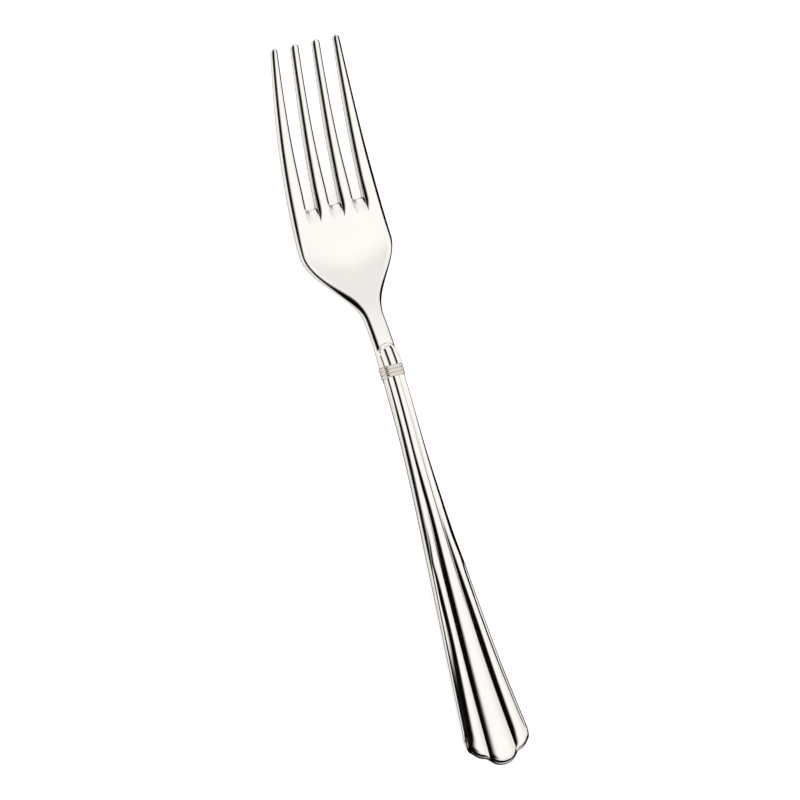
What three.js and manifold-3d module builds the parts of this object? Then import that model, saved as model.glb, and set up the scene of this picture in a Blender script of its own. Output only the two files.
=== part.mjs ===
// Serving fork: a four-tined head whose tang runs through a beaded collar into a hollow
// handle of two brazed shells, ribbed in front and plain behind, set with filler.
// Millimetres. +X runs to the tine tips, +Z is up, and the fork lies on its back on z = 0.

import * as THREE from 'three';
import Module from 'manifold-3d';

// Lengths along the fork, from the end of the handle to the tips of the tines
const HANDLE_LENGTH = 129;
const COLLAR_LENGTH = 3.7;
const NECK_LENGTH = 16;
const SHOULDER_LENGTH = 25.5;
const PALM_LENGTH = 14.3;
const TINE_LENGTH = 51.5;
const TANG_LENGTH = 69;
const LEVEL_LENGTH = 32;
const MID_HANDLE_LENGTH = 75;
const THIN_LENGTH = 15;
const THICK_LENGTH = 80;
const WAIST_END_LENGTH = 100;

// Widths, and how quickly they change
const HANDLE_END_WIDTH = 26.1;
const HANDLE_TAPER = 1.62;
const MOUTH_WIDTH = 6.8;
const NECK_WIDTH = 7.1;
const HEAD_WIDTH = 33.95;
const TIP_SPAN = 25.6;
const TINE_SWEEP = 1.45;
const SLOT_ROOT_WIDTH = 4;
const SLOT_MIDDLE_WIDTH = 5.05;
const SLOT_TIP_WIDTH = 5.15;
const SLOT_ROOT_PITCH = 8.88;
const SLOT_TIP_PITCH = 7.95;
const SLOT_FRONT_SCOOP = 4.6;
const SLOT_BACK_SCOOP = 0.4;
const TINE_POINT = 1.7;
const TINE_BLUNTNESS = 0.3;

// Thickness at the edges, and how far the faces swell or sink between them
const HANDLE_END_EDGE = 1.6;
const WAIST_EDGE = 2.75;
const MOUTH_EDGE = 3.7;
const NECK_EDGE = 2.6;
const BOWL_EDGE = 2.9;
const TINE_EDGE = 3.1;
const TIP_EDGE = 2.2;
const HANDLE_BACK_SWELL = 1.5;
const NECK_BACK_SWELL = 0.6;
const NECK_FRONT_SWELL = 0.25;
const BOWL_DISH = 2;
const BOWL_BELLY = 1.9;

// Rounding of the front edges: how wide it is and how deep it falls. The back's is a quarter circle.
const END_ROUND = 1.1;
const EDGE_ROUND = 0.75;
const EDGE_ROUND_DEPTH = 0.6;
const WAIST_ROUND = 1.9;
const WAIST_ROUND_DEPTH = 1.05;
const MOUTH_ROUND = 1;
const MOUTH_ROUND_DEPTH = 0.55;
const ARCH_ROUND = 0.7;
const ARCH_ROUND_DEPTH = 0.45;
const NECK_ROUND = 2.1;
const NECK_ROUND_DEPTH = 1.15;
const RIM_ROUND = 1.9;
const RIM_ROUND_DEPTH = 0.95;
const TINE_CROWN_SHARE = 0.46;
const BACK_ROUND = 0.45;

// Height of the middle of the thickness above the table, where the resting places don't set it,
// and how much of the back is flattened at those places
const LEVEL_RISE = 0.2;
const MID_HANDLE_RISE = 4.25;
const COLLAR_RISE = 7.4;
const NECK_RISE = 6.6;
const ROOT_RISE = 4;
const MID_TINE_RISE = 8.85;
const TIP_RISE = 16.7;
const HANDLE_REST_FLAT = 0.35;
const BOWL_REST_FLAT = 0.2;

// Ribs of the handle, and the border outside them
const GROOVE_SHARE = 0.408;
const GROOVE_MOUTH_SHARE = 0.37;
const GROOVE_LIFT = 0.15;
const GROOVE_SINK = 0.2;
const RIB_RISE = 1.1;
const CENTRE_MOUTH_RISE = 0.45;
const SIDE_RIB_RISE = 1.05;
const SIDE_SLIM_RISE = 0.25;
const SIDE_CREST_SHARE = 0.46;
const RIB_END = 2.6;
const BORDER_WIDTH = 0.4;
const SLIM_BORDER_WIDTH = 0.15;
const BORDER_FALL = 0.35;
const BORDER_LENGTH = 62;
const BORDER_FADE = 16;

// The handle's lobed end: how far back its outline runs, as shares across and of the depth
const END_LOBE_DEPTH = 9.6;
const END_LOBES = [
  [0, 0], [0.18, 0.036], [0.35, 0.18], [0.46, 0.31], [0.6, 0.37],
  [0.75, 0.48], [0.88, 0.625], [0.96, 0.79], [1, 1],
];
const END_FADE = 24;
const END_RIM = 1.3;
const END_SWEEP = 6;

// The arch that ends the ribs on the neck
const ARCH_LENGTH = 7.5;
const ARCH_RISE = 0.3;
const ARCH_RIM = 1.1;
const ARCH_GROOVE = 1.3;
const ARCH_GROOVE_DEPTH = 0.3;

// Make and fit
const SHELL_WALL = 0.5;
const SEAM_GAP = 0.1;
const FIT_GAP = 0.3;
const COLLAR_BEADS = 3;
const COLLAR_PROUD = 0.05;
const BEAD_RISE = 0.22;
const TANG_TIP_WIDTH = 2.4;
const TANG_TIP_EDGE = 0.6;
const TANG_ROUND = 0.6;
const FILLER_START = 16;
const FILLER_GRIP = 18;

// Stations along the fork
const MOUTH_X = HANDLE_LENGTH;
const NECK_X = MOUTH_X + COLLAR_LENGTH;
const ARCH_X = NECK_X + ARCH_LENGTH;
const SHOULDER_X = NECK_X + NECK_LENGTH;
const WIDEST_X = SHOULDER_X + SHOULDER_LENGTH;
const ROOT_X = WIDEST_X + PALM_LENGTH;
const TIP_X = ROOT_X + TINE_LENGTH;
const BOWL_X = (SHOULDER_X + ROOT_X) / 2;
const TANG_X = MOUTH_X - TANG_LENGTH;
const SLIM_X = BORDER_LENGTH + BORDER_FADE;
const CENTRE_X = TIP_X / 2;

const { clamp, lerp, mapLinear, smoothstep } = THREE.MathUtils;

// Natural cubic spline through [position, value] pairs
function spline(points) {
  const last = points.length - 1;
  const step = (i) => points[i + 1][0] - points[i][0];
  const slope = (i) => (points[i + 1][1] - points[i][1]) / step(i);
  const bend = new Array(last + 1).fill(0);
  const ahead = new Array(last + 1).fill(0);
  for (let i = 1; i < last; i += 1) {
    const pivot = 2 * (step(i - 1) + step(i)) - step(i - 1) * ahead[i - 1];
    ahead[i] = step(i) / pivot;
    bend[i] = (6 * (slope(i) - slope(i - 1)) - step(i - 1) * bend[i - 1]) / pivot;
  }
  for (let i = last - 1; i > 0; i -= 1) bend[i] -= ahead[i] * bend[i + 1];
  return (position) => {
    let i = 0;
    while (i < last - 1 && position > points[i + 1][0]) i += 1;
    const after = (position - points[i][0]) / step(i);
    const before = 1 - after;
    const curl = bend[i] * (before ** 3 - before) + bend[i + 1] * (after ** 3 - after);
    return lerp(points[i][1], points[i + 1][1], after) + (curl * step(i) ** 2) / 6;
  };
}

// Level values joined by eased slopes, from [position, value] pairs
function eased(points) {
  const rises = points.slice(1).map(([end, value], i) => {
    const [start, before] = points[i];
    return (position) => (value - before) * smoothstep(position, start, end);
  });
  return (position) => rises.reduce((value, rise) => value + rise(position), points[0][1]);
}

// Even steps from one value to another, both included
function steps(from, to, count) {
  return Array.from({ length: count + 1 }, (_, k) => lerp(from, to, k / count));
}

// Height of the middle of the thickness, set at both resting places by what lies under it
const HANDLE_END_RISE = HANDLE_END_EDGE / 2 + HANDLE_BACK_SWELL - HANDLE_REST_FLAT;
const BOWL_RISE = BOWL_EDGE / 2 + BOWL_BELLY - BOWL_REST_FLAT;
const middle = spline([
  [0, HANDLE_END_RISE],
  [LEVEL_LENGTH, HANDLE_END_RISE + LEVEL_RISE],
  [MID_HANDLE_LENGTH, MID_HANDLE_RISE],
  [MOUTH_X + COLLAR_LENGTH / 2, COLLAR_RISE],
  [SHOULDER_X, NECK_RISE],
  [BOWL_X, BOWL_RISE],
  [ROOT_X, ROOT_RISE],
  [ROOT_X + TINE_LENGTH / 2, MID_TINE_RISE],
  [TIP_X, TIP_RISE],
]);

// Thickness at the edges
const edge = eased([
  [THIN_LENGTH, HANDLE_END_EDGE],
  [THICK_LENGTH, WAIST_EDGE],
  [WAIST_END_LENGTH, WAIST_EDGE],
  [MOUTH_X, MOUTH_EDGE],
  [NECK_X, MOUTH_EDGE],
  [ARCH_X, NECK_EDGE],
  [SHOULDER_X, NECK_EDGE],
  [BOWL_X, BOWL_EDGE],
  [ROOT_X, TINE_EDGE],
  [ROOT_X + TINE_LENGTH / 2, TINE_EDGE],
  [TIP_X, TIP_EDGE],
]);

// Fall of a rounded edge at a distance in from it: a quarter ellipse
function roundFall(distance, width, depth) {
  const inward = clamp(1 - distance / width, 0, 1);
  return depth * (1 - Math.sqrt(1 - inward ** 2));
}

// Half the width of the handle, and of the head from neck to tips
function handleHalf(x) {
  const along = clamp(1 - x / HANDLE_LENGTH, 0, 1);
  return lerp(MOUTH_WIDTH, HANDLE_END_WIDTH, along ** HANDLE_TAPER) / 2;
}

function headHalf(x) {
  if (x < WIDEST_X) return lerp(NECK_WIDTH, HEAD_WIDTH, smoothstep(x, SHOULDER_X, WIDEST_X)) / 2;
  const along = (x - WIDEST_X) / (TIP_X - WIDEST_X);
  return lerp(HEAD_WIDTH, TIP_SPAN, along ** TINE_SWEEP) / 2;
}

// Point of the fork at a place along it, across it and above the table
function point(x, y, z) {
  return new THREE.Vector3(x - CENTRE_X, y, z);
}

// Geometry from points and triangles, without the triangles that have closed up to a line
function solid(points, triangles) {
  const same = (p, q) => points[p].distanceToSquared(points[q]) < 1e-8;
  const open = triangles.filter(([p, q, r]) => !same(p, q) && !same(q, r) && !same(r, p));
  return new THREE.BufferGeometry().setFromPoints(points).setIndex(open.flat());
}

// Closed solid between a front sheet and a back sheet that share one grid of rows and columns.
// Cells that are not kept leave an opening, walled between the sheets.
function sheetSolid(rows, columns, front, back, keep = () => true) {
  const points = [front, back].flatMap((sheet) => (
    rows.flatMap((row) => columns.map((column) => sheet(row, column)))
  ));
  const f = (i, j) => i * columns.length + j;
  const b = (i, j) => (rows.length + i) * columns.length + j;
  const inside = (i, j) => i >= 0 && j >= 0 && i < rows.length - 1 && j < columns.length - 1;
  const kept = (i, j) => inside(i, j) && keep(rows[i], columns[j], columns[j + 1]);
  const triangles = [];
  const quad = (p, q, r, s) => triangles.push([p, q, r], [p, r, s]);
  for (let i = 0; i < rows.length - 1; i += 1) {
    for (let j = 0; j < columns.length - 1; j += 1) {
      if (!kept(i, j)) continue;
      quad(f(i, j), f(i + 1, j), f(i + 1, j + 1), f(i, j + 1));
      quad(b(i, j), b(i, j + 1), b(i + 1, j + 1), b(i + 1, j));
      if (!kept(i, j - 1)) quad(f(i, j), b(i, j), b(i + 1, j), f(i + 1, j));
      if (!kept(i, j + 1)) quad(f(i, j + 1), f(i + 1, j + 1), b(i + 1, j + 1), b(i, j + 1));
      if (!kept(i - 1, j)) quad(f(i, j), f(i, j + 1), b(i, j + 1), b(i, j));
      if (!kept(i + 1, j)) quad(f(i + 1, j), b(i + 1, j), b(i + 1, j + 1), f(i + 1, j + 1));
    }
  }
  return solid(points, triangles);
}

// Closed ring: the steps of a profile carried round a loop of turns
function ringSolid(profile, turns, place) {
  const points = [];
  const triangles = [];
  const at = (k, n) => (k % turns) * profile.length + (n % profile.length);
  for (let k = 0; k < turns; k += 1) {
    for (let n = 0; n < profile.length; n += 1) {
      points.push(place(profile[n], (k / turns) * 2 * Math.PI));
      triangles.push([at(k, n), at(k + 1, n + 1), at(k, n + 1)]);
      triangles.push([at(k, n), at(k + 1, n), at(k + 1, n + 1)]);
    }
  }
  return solid(points, triangles);
}

// Handle. A lane runs the length of it: 0 to 1 over half the middle rib, 1 to 2 over a side
// rib, 2 to 3 over the border, 3 to 4 round the edge, and 5 at the seam. Rows go in from the end.
const SEAM = 5;
const EDGE = 4;
const ROUNDED = 0.29;
const HALF_LANES = [0, 0.5, 0.8, 1, 1.12, 1.28, 1.55, 1.8, 2, 3, EDGE - ROUNDED, EDGE, SEAM];
const LANES = [...HALF_LANES.slice(1).map((lane) => -lane).reverse(), ...HALF_LANES];
const HANDLE_ROWS = [
  { inset: 0, seam: true },
  ...[0, ROUNDED, 1].map((share) => ({ inset: END_ROUND * share })),
  ...[0.25, 0.5, 0.75, 1].map((share) => ({ inset: END_RIM + RIB_END * share })),
  ...steps(END_RIM + RIB_END, BORDER_LENGTH, 7).slice(1).map((inset) => ({ inset })),
  ...steps(BORDER_LENGTH, HANDLE_LENGTH, 9).slice(1).map((inset) => ({ inset })),
];
const lobeShare = spline(END_LOBES);
const groovePlace = eased([[BORDER_LENGTH, GROOVE_SHARE], [MOUTH_X, GROOVE_MOUTH_SHARE]]);
const handleRound = eased([
  [BORDER_LENGTH, EDGE_ROUND],
  [SLIM_X, WAIST_ROUND],
  [WAIST_END_LENGTH, WAIST_ROUND],
  [MOUTH_X, MOUTH_ROUND],
]);
const handleRoundDepth = eased([
  [BORDER_LENGTH, EDGE_ROUND_DEPTH],
  [SLIM_X, WAIST_ROUND_DEPTH],
  [WAIST_END_LENGTH, WAIST_ROUND_DEPTH],
  [MOUTH_X, MOUTH_ROUND_DEPTH],
]);
const borderWidth = eased([[BORDER_LENGTH, BORDER_WIDTH], [SLIM_X, SLIM_BORDER_WIDTH]]);
const centreRise = eased([[SLIM_X, RIB_RISE], [WAIST_END_LENGTH, CENTRE_MOUTH_RISE]]);
const sideRise = eased([[END_FADE, SIDE_RIB_RISE], [SLIM_X, SIDE_SLIM_RISE]]);
const grooveLevel = eased([[END_FADE, GROOVE_LIFT], [SLIM_X, -GROOVE_SINK]]);
const borderLevel = eased([[END_FADE, BORDER_FALL], [BORDER_LENGTH, 0]]);

function laneOffset(x, lane) {
  const half = handleHalf(x);
  const flat = half - handleRound(x);
  const knots = [0, groovePlace(x) * half, flat - borderWidth(x), flat, half, half];
  const k = Math.min(Math.floor(Math.abs(lane)), EDGE);
  return Math.sign(lane) * lerp(knots[k], knots[k + 1], Math.abs(lane) - k);
}

function handlePlan({ inset }, lane) {
  const share = Math.abs(laneOffset(0, lane)) / handleHalf(0);
  const x = inset + END_LOBE_DEPTH * lobeShare(share) * (1 - smoothstep(inset, 0, END_FADE));
  return { x, y: laneOffset(x, lane) };
}

function onSeam(row, lane) {
  return row.seam || Math.abs(lane) === SEAM;
}

// Height of ribs and border over the level of the edge. The middle rib falls away to its grooves
// by a cube. A side rib climbs steeply from its groove to a crest and falls to the border; in the
// slim part the crest lies at the edge.
function ribHeight(x, lane) {
  const across = Math.abs(lane);
  if (across <= 1) return grooveLevel(x) + centreRise(x) * (1 - across ** 3);
  if (across >= 2) return borderLevel(x) * clamp(3 - across, 0, 1);
  const slim = smoothstep(x, BORDER_LENGTH, SLIM_X);
  const crest = lerp(SIDE_CREST_SHARE, 1, slim);
  const rib = across - 1;
  const climb = clamp(1 - rib / crest, 0, 1) ** 2;
  const fall = rib > crest ? ((rib - crest) / (1 - crest)) ** 2 : 0;
  const top = grooveLevel(x) + sideRise(x);
  return top - sideRise(x) * climb - (top - borderLevel(x)) * fall;
}

function handleFront(row, lane) {
  const { x, y } = handlePlan(row, lane);
  if (onSeam(row, lane)) return point(x, y, middle(x) + SEAM_GAP / 2);
  const depth = handleRoundDepth(x);
  const sideFall = roundFall(handleHalf(x) - Math.abs(y), handleRound(x), depth);
  const fall = Math.max(sideFall, roundFall(row.inset, END_ROUND, depth));
  const rib = ribHeight(x, lane) * smoothstep(row.inset, END_RIM, END_RIM + RIB_END);
  return point(x, y, middle(x) + edge(x) / 2 + rib - fall);
}

function handleBack(row, lane) {
  const { x, y } = handlePlan(row, lane);
  if (onSeam(row, lane)) return point(x, y, middle(x) - SEAM_GAP / 2);
  const inward = Math.min(handleHalf(x) - Math.abs(y), row.inset);
  const swell = lerp(HANDLE_BACK_SWELL, NECK_BACK_SWELL, x / HANDLE_LENGTH);
  const end = smoothstep(row.inset, -END_RIM, END_SWEEP);
  const level = middle(x) - edge(x) / 2 - swell * end * (1 - (y / handleHalf(x)) ** 2);
  return point(x, y, Math.max(0, level) + roundFall(inward, BACK_ROUND, BACK_ROUND));
}

// Inner face of a shell, one wall in from the outer face
function lining(outer, side) {
  return (row, lane) => {
    const { x, y } = handlePlan(row, lane);
    const inner = point(x, y, 0);
    inner.x += SHELL_WALL * (1 - smoothstep(row.inset, 0, END_FADE));
    inner.y *= 1 - SHELL_WALL / handleHalf(x);
    const seam = middle(x) + (side * SEAM_GAP) / 2;
    const height = side * (outer(row, lane).z - seam) - SHELL_WALL;
    inner.z = onSeam(row, lane) ? seam : seam + side * Math.max(height, SEAM_GAP);
    return inner;
  };
}

const frontLining = lining(handleFront, 1);
const backLining = lining(handleBack, -1);

// Tang, as thick as the bore of the shells lets through at the handle's waist
const TANG_MOUTH_WIDTH = MOUTH_WIDTH - 2 * (SHELL_WALL + FIT_GAP);
const TANG_MOUTH_BACK = WAIST_EDGE / 2 - SHELL_WALL - FIT_GAP;
const TANG_MOUTH_FRONT = TANG_MOUTH_BACK - GROOVE_SINK;

function tangSize(x, side) {
  const along = clamp((MOUTH_X - x) / TANG_LENGTH, 0, 1);
  return {
    half: lerp(TANG_MOUTH_WIDTH, TANG_TIP_WIDTH, along) / 2,
    thick: lerp(side > 0 ? TANG_MOUTH_FRONT : TANG_MOUTH_BACK, TANG_TIP_EDGE / 2, along),
  };
}

function tangPoint(x, across, side, gap) {
  const { half, thick } = tangSize(x, side);
  const rise = thick * (1 - TANG_ROUND * across ** 6) + gap;
  return point(x, across * (half + gap), middle(x) + side * rise);
}

// Head. Its columns follow the edges of the tines; behind the roots they close in to the neck.
const slotWidth = spline([[0, SLOT_ROOT_WIDTH], [0.5, SLOT_MIDDLE_WIDTH], [1, SLOT_TIP_WIDTH]]);

function tineEdges(x) {
  const along = (x - ROOT_X) / TINE_LENGTH;
  const slot = slotWidth(along) / 2;
  const pitch = lerp(SLOT_ROOT_PITCH, SLOT_TIP_PITCH, along);
  const right = [slot, pitch - slot, pitch + slot, headHalf(x)];
  return [...right.map((y) => -y).reverse(), ...right];
}

const neckRound = eased([
  [ARCH_X, ARCH_ROUND],
  [ARCH_X + NECK_ROUND, NECK_ROUND],
  [SHOULDER_X, NECK_ROUND],
  [WIDEST_X, RIM_ROUND],
]);
const headRoundDepth = eased([
  [ARCH_X, ARCH_ROUND_DEPTH],
  [ARCH_X + NECK_ROUND, NECK_ROUND_DEPTH],
  [SHOULDER_X, NECK_ROUND_DEPTH],
  [WIDEST_X, RIM_ROUND_DEPTH],
]);

// Width of the rounding of the front edges. A tine is rounded over a share of its width.
function headRound(x) {
  if (x <= ROOT_X) return neckRound(x);
  const edges = tineEdges(x);
  return Math.min(TINE_CROWN_SHARE * (edges[5] - edges[4]), RIM_ROUND);
}

// Columns as a span between two edges, a share across it, and an inset from the nearer edge in
// roundings. Every other span is a slot, from -1 to 1 across.
const EDGE_INSETS = [0, ROUNDED, 1];
const TINE_COLUMNS = [
  ...EDGE_INSETS.map((inset) => ({ share: 0, inset })),
  { share: 0.5, inset: 1 },
  ...EDGE_INSETS.map((inset) => ({ share: 1, inset })).reverse(),
];
const SLOT_COLUMNS = [-0.85, -0.5, 0, 0.5, 0.85].map((slot) => ({ share: (slot + 1) / 2, inset: 1, slot }));
const HEAD_COLUMNS = steps(0, 6, 6).flatMap((span) => (
  (span % 2 === 0 ? TINE_COLUMNS : SLOT_COLUMNS).map((column) => ({ ...column, span }))
));

// Distance across of a column between the edges of its span, where the edges are rounded by a width
function spanOffset(edges, column, round) {
  const { span, share, inset } = column;
  const offset = lerp(edges[span], edges[span + 1], share);
  if (share === 0) return offset + inset * round;
  return share === 1 ? offset - inset * round : offset;
}

const PALM_HALF = headHalf(ROOT_X) - headRound(ROOT_X);
for (const column of HEAD_COLUMNS) {
  const offset = spanOffset(tineEdges(ROOT_X), column, headRound(ROOT_X));
  column.across = offset / headHalf(ROOT_X);
  column.place = offset / PALM_HALF;
  column.outer = (column.span === 0 && column.share === 0) || (column.span === 6 && column.share === 1);
}

// The grooves of the neck run where the inner tines' outer roundings end
const grooved = ({ span, share, inset }) => span === 4 && share === 1 && inset === 1;
const GROOVE_PLACE = HEAD_COLUMNS.find(grooved).place;

const HEAD_ROWS = [
  ...[0, 0.04, 0.3, 0.65, 1].map((share) => ({ x: lerp(TANG_X, MOUTH_X, share), tang: true })),
  { x: NECK_X, tang: true },
  ...[0, 0.4, 0.75].map((share) => (
    { x: lerp(NECK_X, ARCH_X - ARCH_RIM, share), raised: true, ribbed: true }
  )),
  { x: ARCH_X - ARCH_RIM, raised: true, ribbed: true, crown: true },
  { x: ARCH_X - ARCH_RIM / 2, raised: true },
  { x: ARCH_X, raised: true },
  { x: ARCH_X + ARCH_RISE },
  ...steps(ARCH_X, SHOULDER_X, 3).slice(1).map((x) => ({ x })),
  ...steps(SHOULDER_X, WIDEST_X, 9).slice(1).map((x) => ({ x })),
  ...steps(WIDEST_X, ROOT_X - SLOT_BACK_SCOOP, 5).slice(1).map((x) => ({ x })),
  { x: ROOT_X, open: true },
  ...[0.03, 0.08, 0.15, 0.25, 0.36, 0.48, 0.6, 0.72, 0.84].map((share) => (
    { x: ROOT_X + TINE_LENGTH * share, open: true }
  )),
  ...[1, 0.55, 0.25, 0.08, 0].map((share) => ({ x: TIP_X - TINE_POINT * share, open: true })),
];

// Round the last of each tine off to its point
function pointing(x) {
  const along = clamp((x - TIP_X + TINE_POINT) / TINE_POINT, 0, 1);
  return Math.max(Math.sqrt(1 - along ** 2), TINE_BLUNTNESS);
}

// Distance across the neck of a column: the grooves between the ribs carry on there
function neckOffset(place, half) {
  const out = Math.abs(place);
  const offset = out < GROOVE_PLACE
    ? mapLinear(out, 0, GROOVE_PLACE, 0, ARCH_GROOVE)
    : mapLinear(out, GROOVE_PLACE, 1, ARCH_GROOVE, half);
  return Math.sign(place) * offset;
}

function behindRoots(x, column) {
  const half = headHalf(x);
  const flat = half - headRound(x);
  if (column.outer) return Math.sign(column.place) * (half - column.inset * headRound(x));
  return lerp(neckOffset(column.place, flat), column.place * flat, smoothstep(x, ARCH_X, SHOULDER_X));
}

function headPlan(row, column, scoop) {
  if (row.x > ROOT_X) {
    const edges = tineEdges(row.x);
    const y = spanOffset(edges, column, headRound(row.x));
    const centre = (edges[column.span] + edges[column.span + 1]) / 2;
    return { x: row.x, y: centre + (y - centre) * pointing(row.x) };
  }
  const half = headHalf(row.x);
  const y = behindRoots(row.x, column);
  const bowed = smoothstep(row.x, NECK_X, ARCH_X) - smoothstep(row.x, ARCH_X, SHOULDER_X);
  const arch = (half - Math.sqrt(half ** 2 - y ** 2)) * bowed;
  const root = column.slot === undefined ? 0 : scoop * (1 - column.slot ** 4);
  return { x: row.x - arch - root * smoothstep(row.x, WIDEST_X, ROOT_X), y };
}

// How much of the bowl's hollow is there, and of the neck's swell
function bowlShare(x) {
  return Math.sin(clamp((x - SHOULDER_X) / (ROOT_X - SHOULDER_X), 0, 1) * Math.PI) ** 2;
}

function neckShare(x) {
  return 1 - smoothstep(x, ARCH_X, BOWL_X);
}

// Fall of the face at a column, where its edge is rounded
function edgeFall(row, column, width, depth) {
  if (column.slot !== undefined) return row.open ? depth : 0;
  return row.open || column.outer ? roundFall(column.inset * headRound(row.x), width, depth) : 0;
}

function archHeight(row, column) {
  if (!row.raised) return 0;
  const out = Math.abs(column.place);
  const groove = (row.ribbed && out === GROOVE_PLACE) || (row.crown && out < GROOVE_PLACE);
  return groove ? ARCH_RISE - ARCH_GROOVE_DEPTH : ARCH_RISE;
}

function headFront(row, column) {
  if (row.tang) return tangPoint(row.x, column.across, 1, 0);
  const { x, y } = headPlan(row, column, SLOT_FRONT_SCOOP);
  const fall = edgeFall(row, column, headRound(row.x), headRoundDepth(row.x));
  const swell = NECK_FRONT_SWELL * neckShare(x) - BOWL_DISH * bowlShare(x);
  const bow = 1 - (y / headHalf(x)) ** 2;
  const rise = (edge(x) / 2 - fall) * pointing(x) + swell * bow + archHeight(row, column);
  return point(x, y, middle(x) + rise);
}

function headBack(row, column) {
  if (row.tang) return tangPoint(row.x, column.across, -1, 0);
  const { x, y } = headPlan(row, column, SLOT_BACK_SCOOP);
  const fall = edgeFall(row, column, BACK_ROUND, BACK_ROUND);
  const swell = NECK_BACK_SWELL * neckShare(x) + BOWL_BELLY * bowlShare(x);
  const bow = 1 - (y / headHalf(x)) ** 2;
  const rise = (edge(x) / 2 - fall) * pointing(x) + swell * bow;
  return point(x, y, Math.max(0, middle(x) - rise));
}

// Whether a cell of the head's grid is metal, and not in a slot
function inMetal(row, column, next) {
  return !row.open || (column.slot === undefined && next.slot === undefined);
}

// Collar. Beads round the outside, and a bore that clears the tang.
const COLLAR_HALF = MOUTH_WIDTH / 2 + COLLAR_PROUD;
const COLLAR_THICK = MOUTH_EDGE / 2 + NECK_BACK_SWELL + COLLAR_PROUD;
const BEAD_STEPS = 6;
const COLLAR_PROFILE = [
  { x: MOUTH_X, bore: true },
  ...steps(0, COLLAR_BEADS, COLLAR_BEADS * BEAD_STEPS).map((bead) => ({
    x: lerp(MOUTH_X, NECK_X, bead / COLLAR_BEADS),
    rise: BEAD_RISE * Math.abs(Math.sin(bead * Math.PI)),
  })),
  { x: NECK_X, bore: true },
];

function collarPoint({ x, bore, rise }, turn) {
  const { half, thick } = tangSize(x, Math.sin(turn));
  const wide = bore ? half + FIT_GAP : COLLAR_HALF + rise;
  const high = bore ? thick + FIT_GAP : COLLAR_THICK + rise;
  const round = (value) => Math.sign(value) * Math.sqrt(Math.abs(value));
  return point(x, wide * round(Math.cos(turn)), middle(x) + high * round(Math.sin(turn)));
}

// Filler, poured between the shells and round the end of the tang
const wasm = await Module();
wasm.setup();

function toManifold(geometry) {
  const mesh = new wasm.Mesh({
    numProp: 3,
    vertProperties: new Float32Array(geometry.attributes.position.array),
    triVerts: new Uint32Array(geometry.index.array),
  });
  mesh.merge();
  return new wasm.Manifold(mesh);
}

function cut(geometry, cutter) {
  const mesh = toManifold(geometry).subtract(toManifold(cutter)).getMesh();
  const result = new THREE.BufferGeometry();
  result.setAttribute('position', new THREE.BufferAttribute(mesh.vertProperties, 3));
  return result.setIndex(new THREE.BufferAttribute(mesh.triVerts, 1));
}

const FILLER_END = TANG_X + FILLER_GRIP;
const FILLER_ROWS = steps(FILLER_START, FILLER_END, 14).map((inset) => ({ inset }));
const FILLER_LANES = LANES.filter((lane) => Math.abs(lane) < 2);

function fillerFace(face, side) {
  return (row, lane) => {
    const place = face(row, lane);
    const room = side * (place.z - middle(handlePlan(row, lane).x)) - SEAM_GAP / 2;
    return place.setZ(place.z - side * Math.min(FIT_GAP, room / 2));
  };
}

const fillerBlank = sheetSolid(
  FILLER_ROWS,
  FILLER_LANES,
  fillerFace(frontLining, 1),
  fillerFace(backLining, -1),
);
const socket = sheetSolid(
  steps(TANG_X - FIT_GAP, FILLER_END + END_RIM, 6),
  steps(-1, 1, 12),
  (x, across) => tangPoint(x, across, 1, FIT_GAP),
  (x, across) => tangPoint(x, across, -1, FIT_GAP),
);

const steel = { color: '#c9c8c4', roughness: 0.12, metalness: 1 };
const pieces = [
  ['fork_head', sheetSolid(HEAD_ROWS, HEAD_COLUMNS, headFront, headBack, inMetal), steel],
  ['collar', ringSolid(COLLAR_PROFILE, 32, collarPoint), steel],
  ['handle_front_shell', sheetSolid(HANDLE_ROWS, LANES, handleFront, frontLining), steel],
  ['handle_back_shell', sheetSolid(HANDLE_ROWS, LANES, backLining, handleBack), steel],
  ['handle_filler', cut(fillerBlank, socket), { color: '#8d8677', roughness: 0.9, metalness: 0 }],
];

const group = new THREE.Group();
group.name = 'serving_fork';
for (const [name, geometry, finish] of pieces) {
  const mesh = new THREE.Mesh(geometry, new THREE.MeshStandardMaterial(finish));
  mesh.name = name;
  group.add(mesh);
}

export default group;
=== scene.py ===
"""Polished serving fork: a tined head, a beaded collar and a hollow ribbed handle, on a white floor."""
import math

import bmesh
import bpy
import numpy as np
from bpy.props import FloatProperty, FloatVectorProperty, IntProperty, PointerProperty, StringProperty
from mathutils import Matrix, Vector


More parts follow.
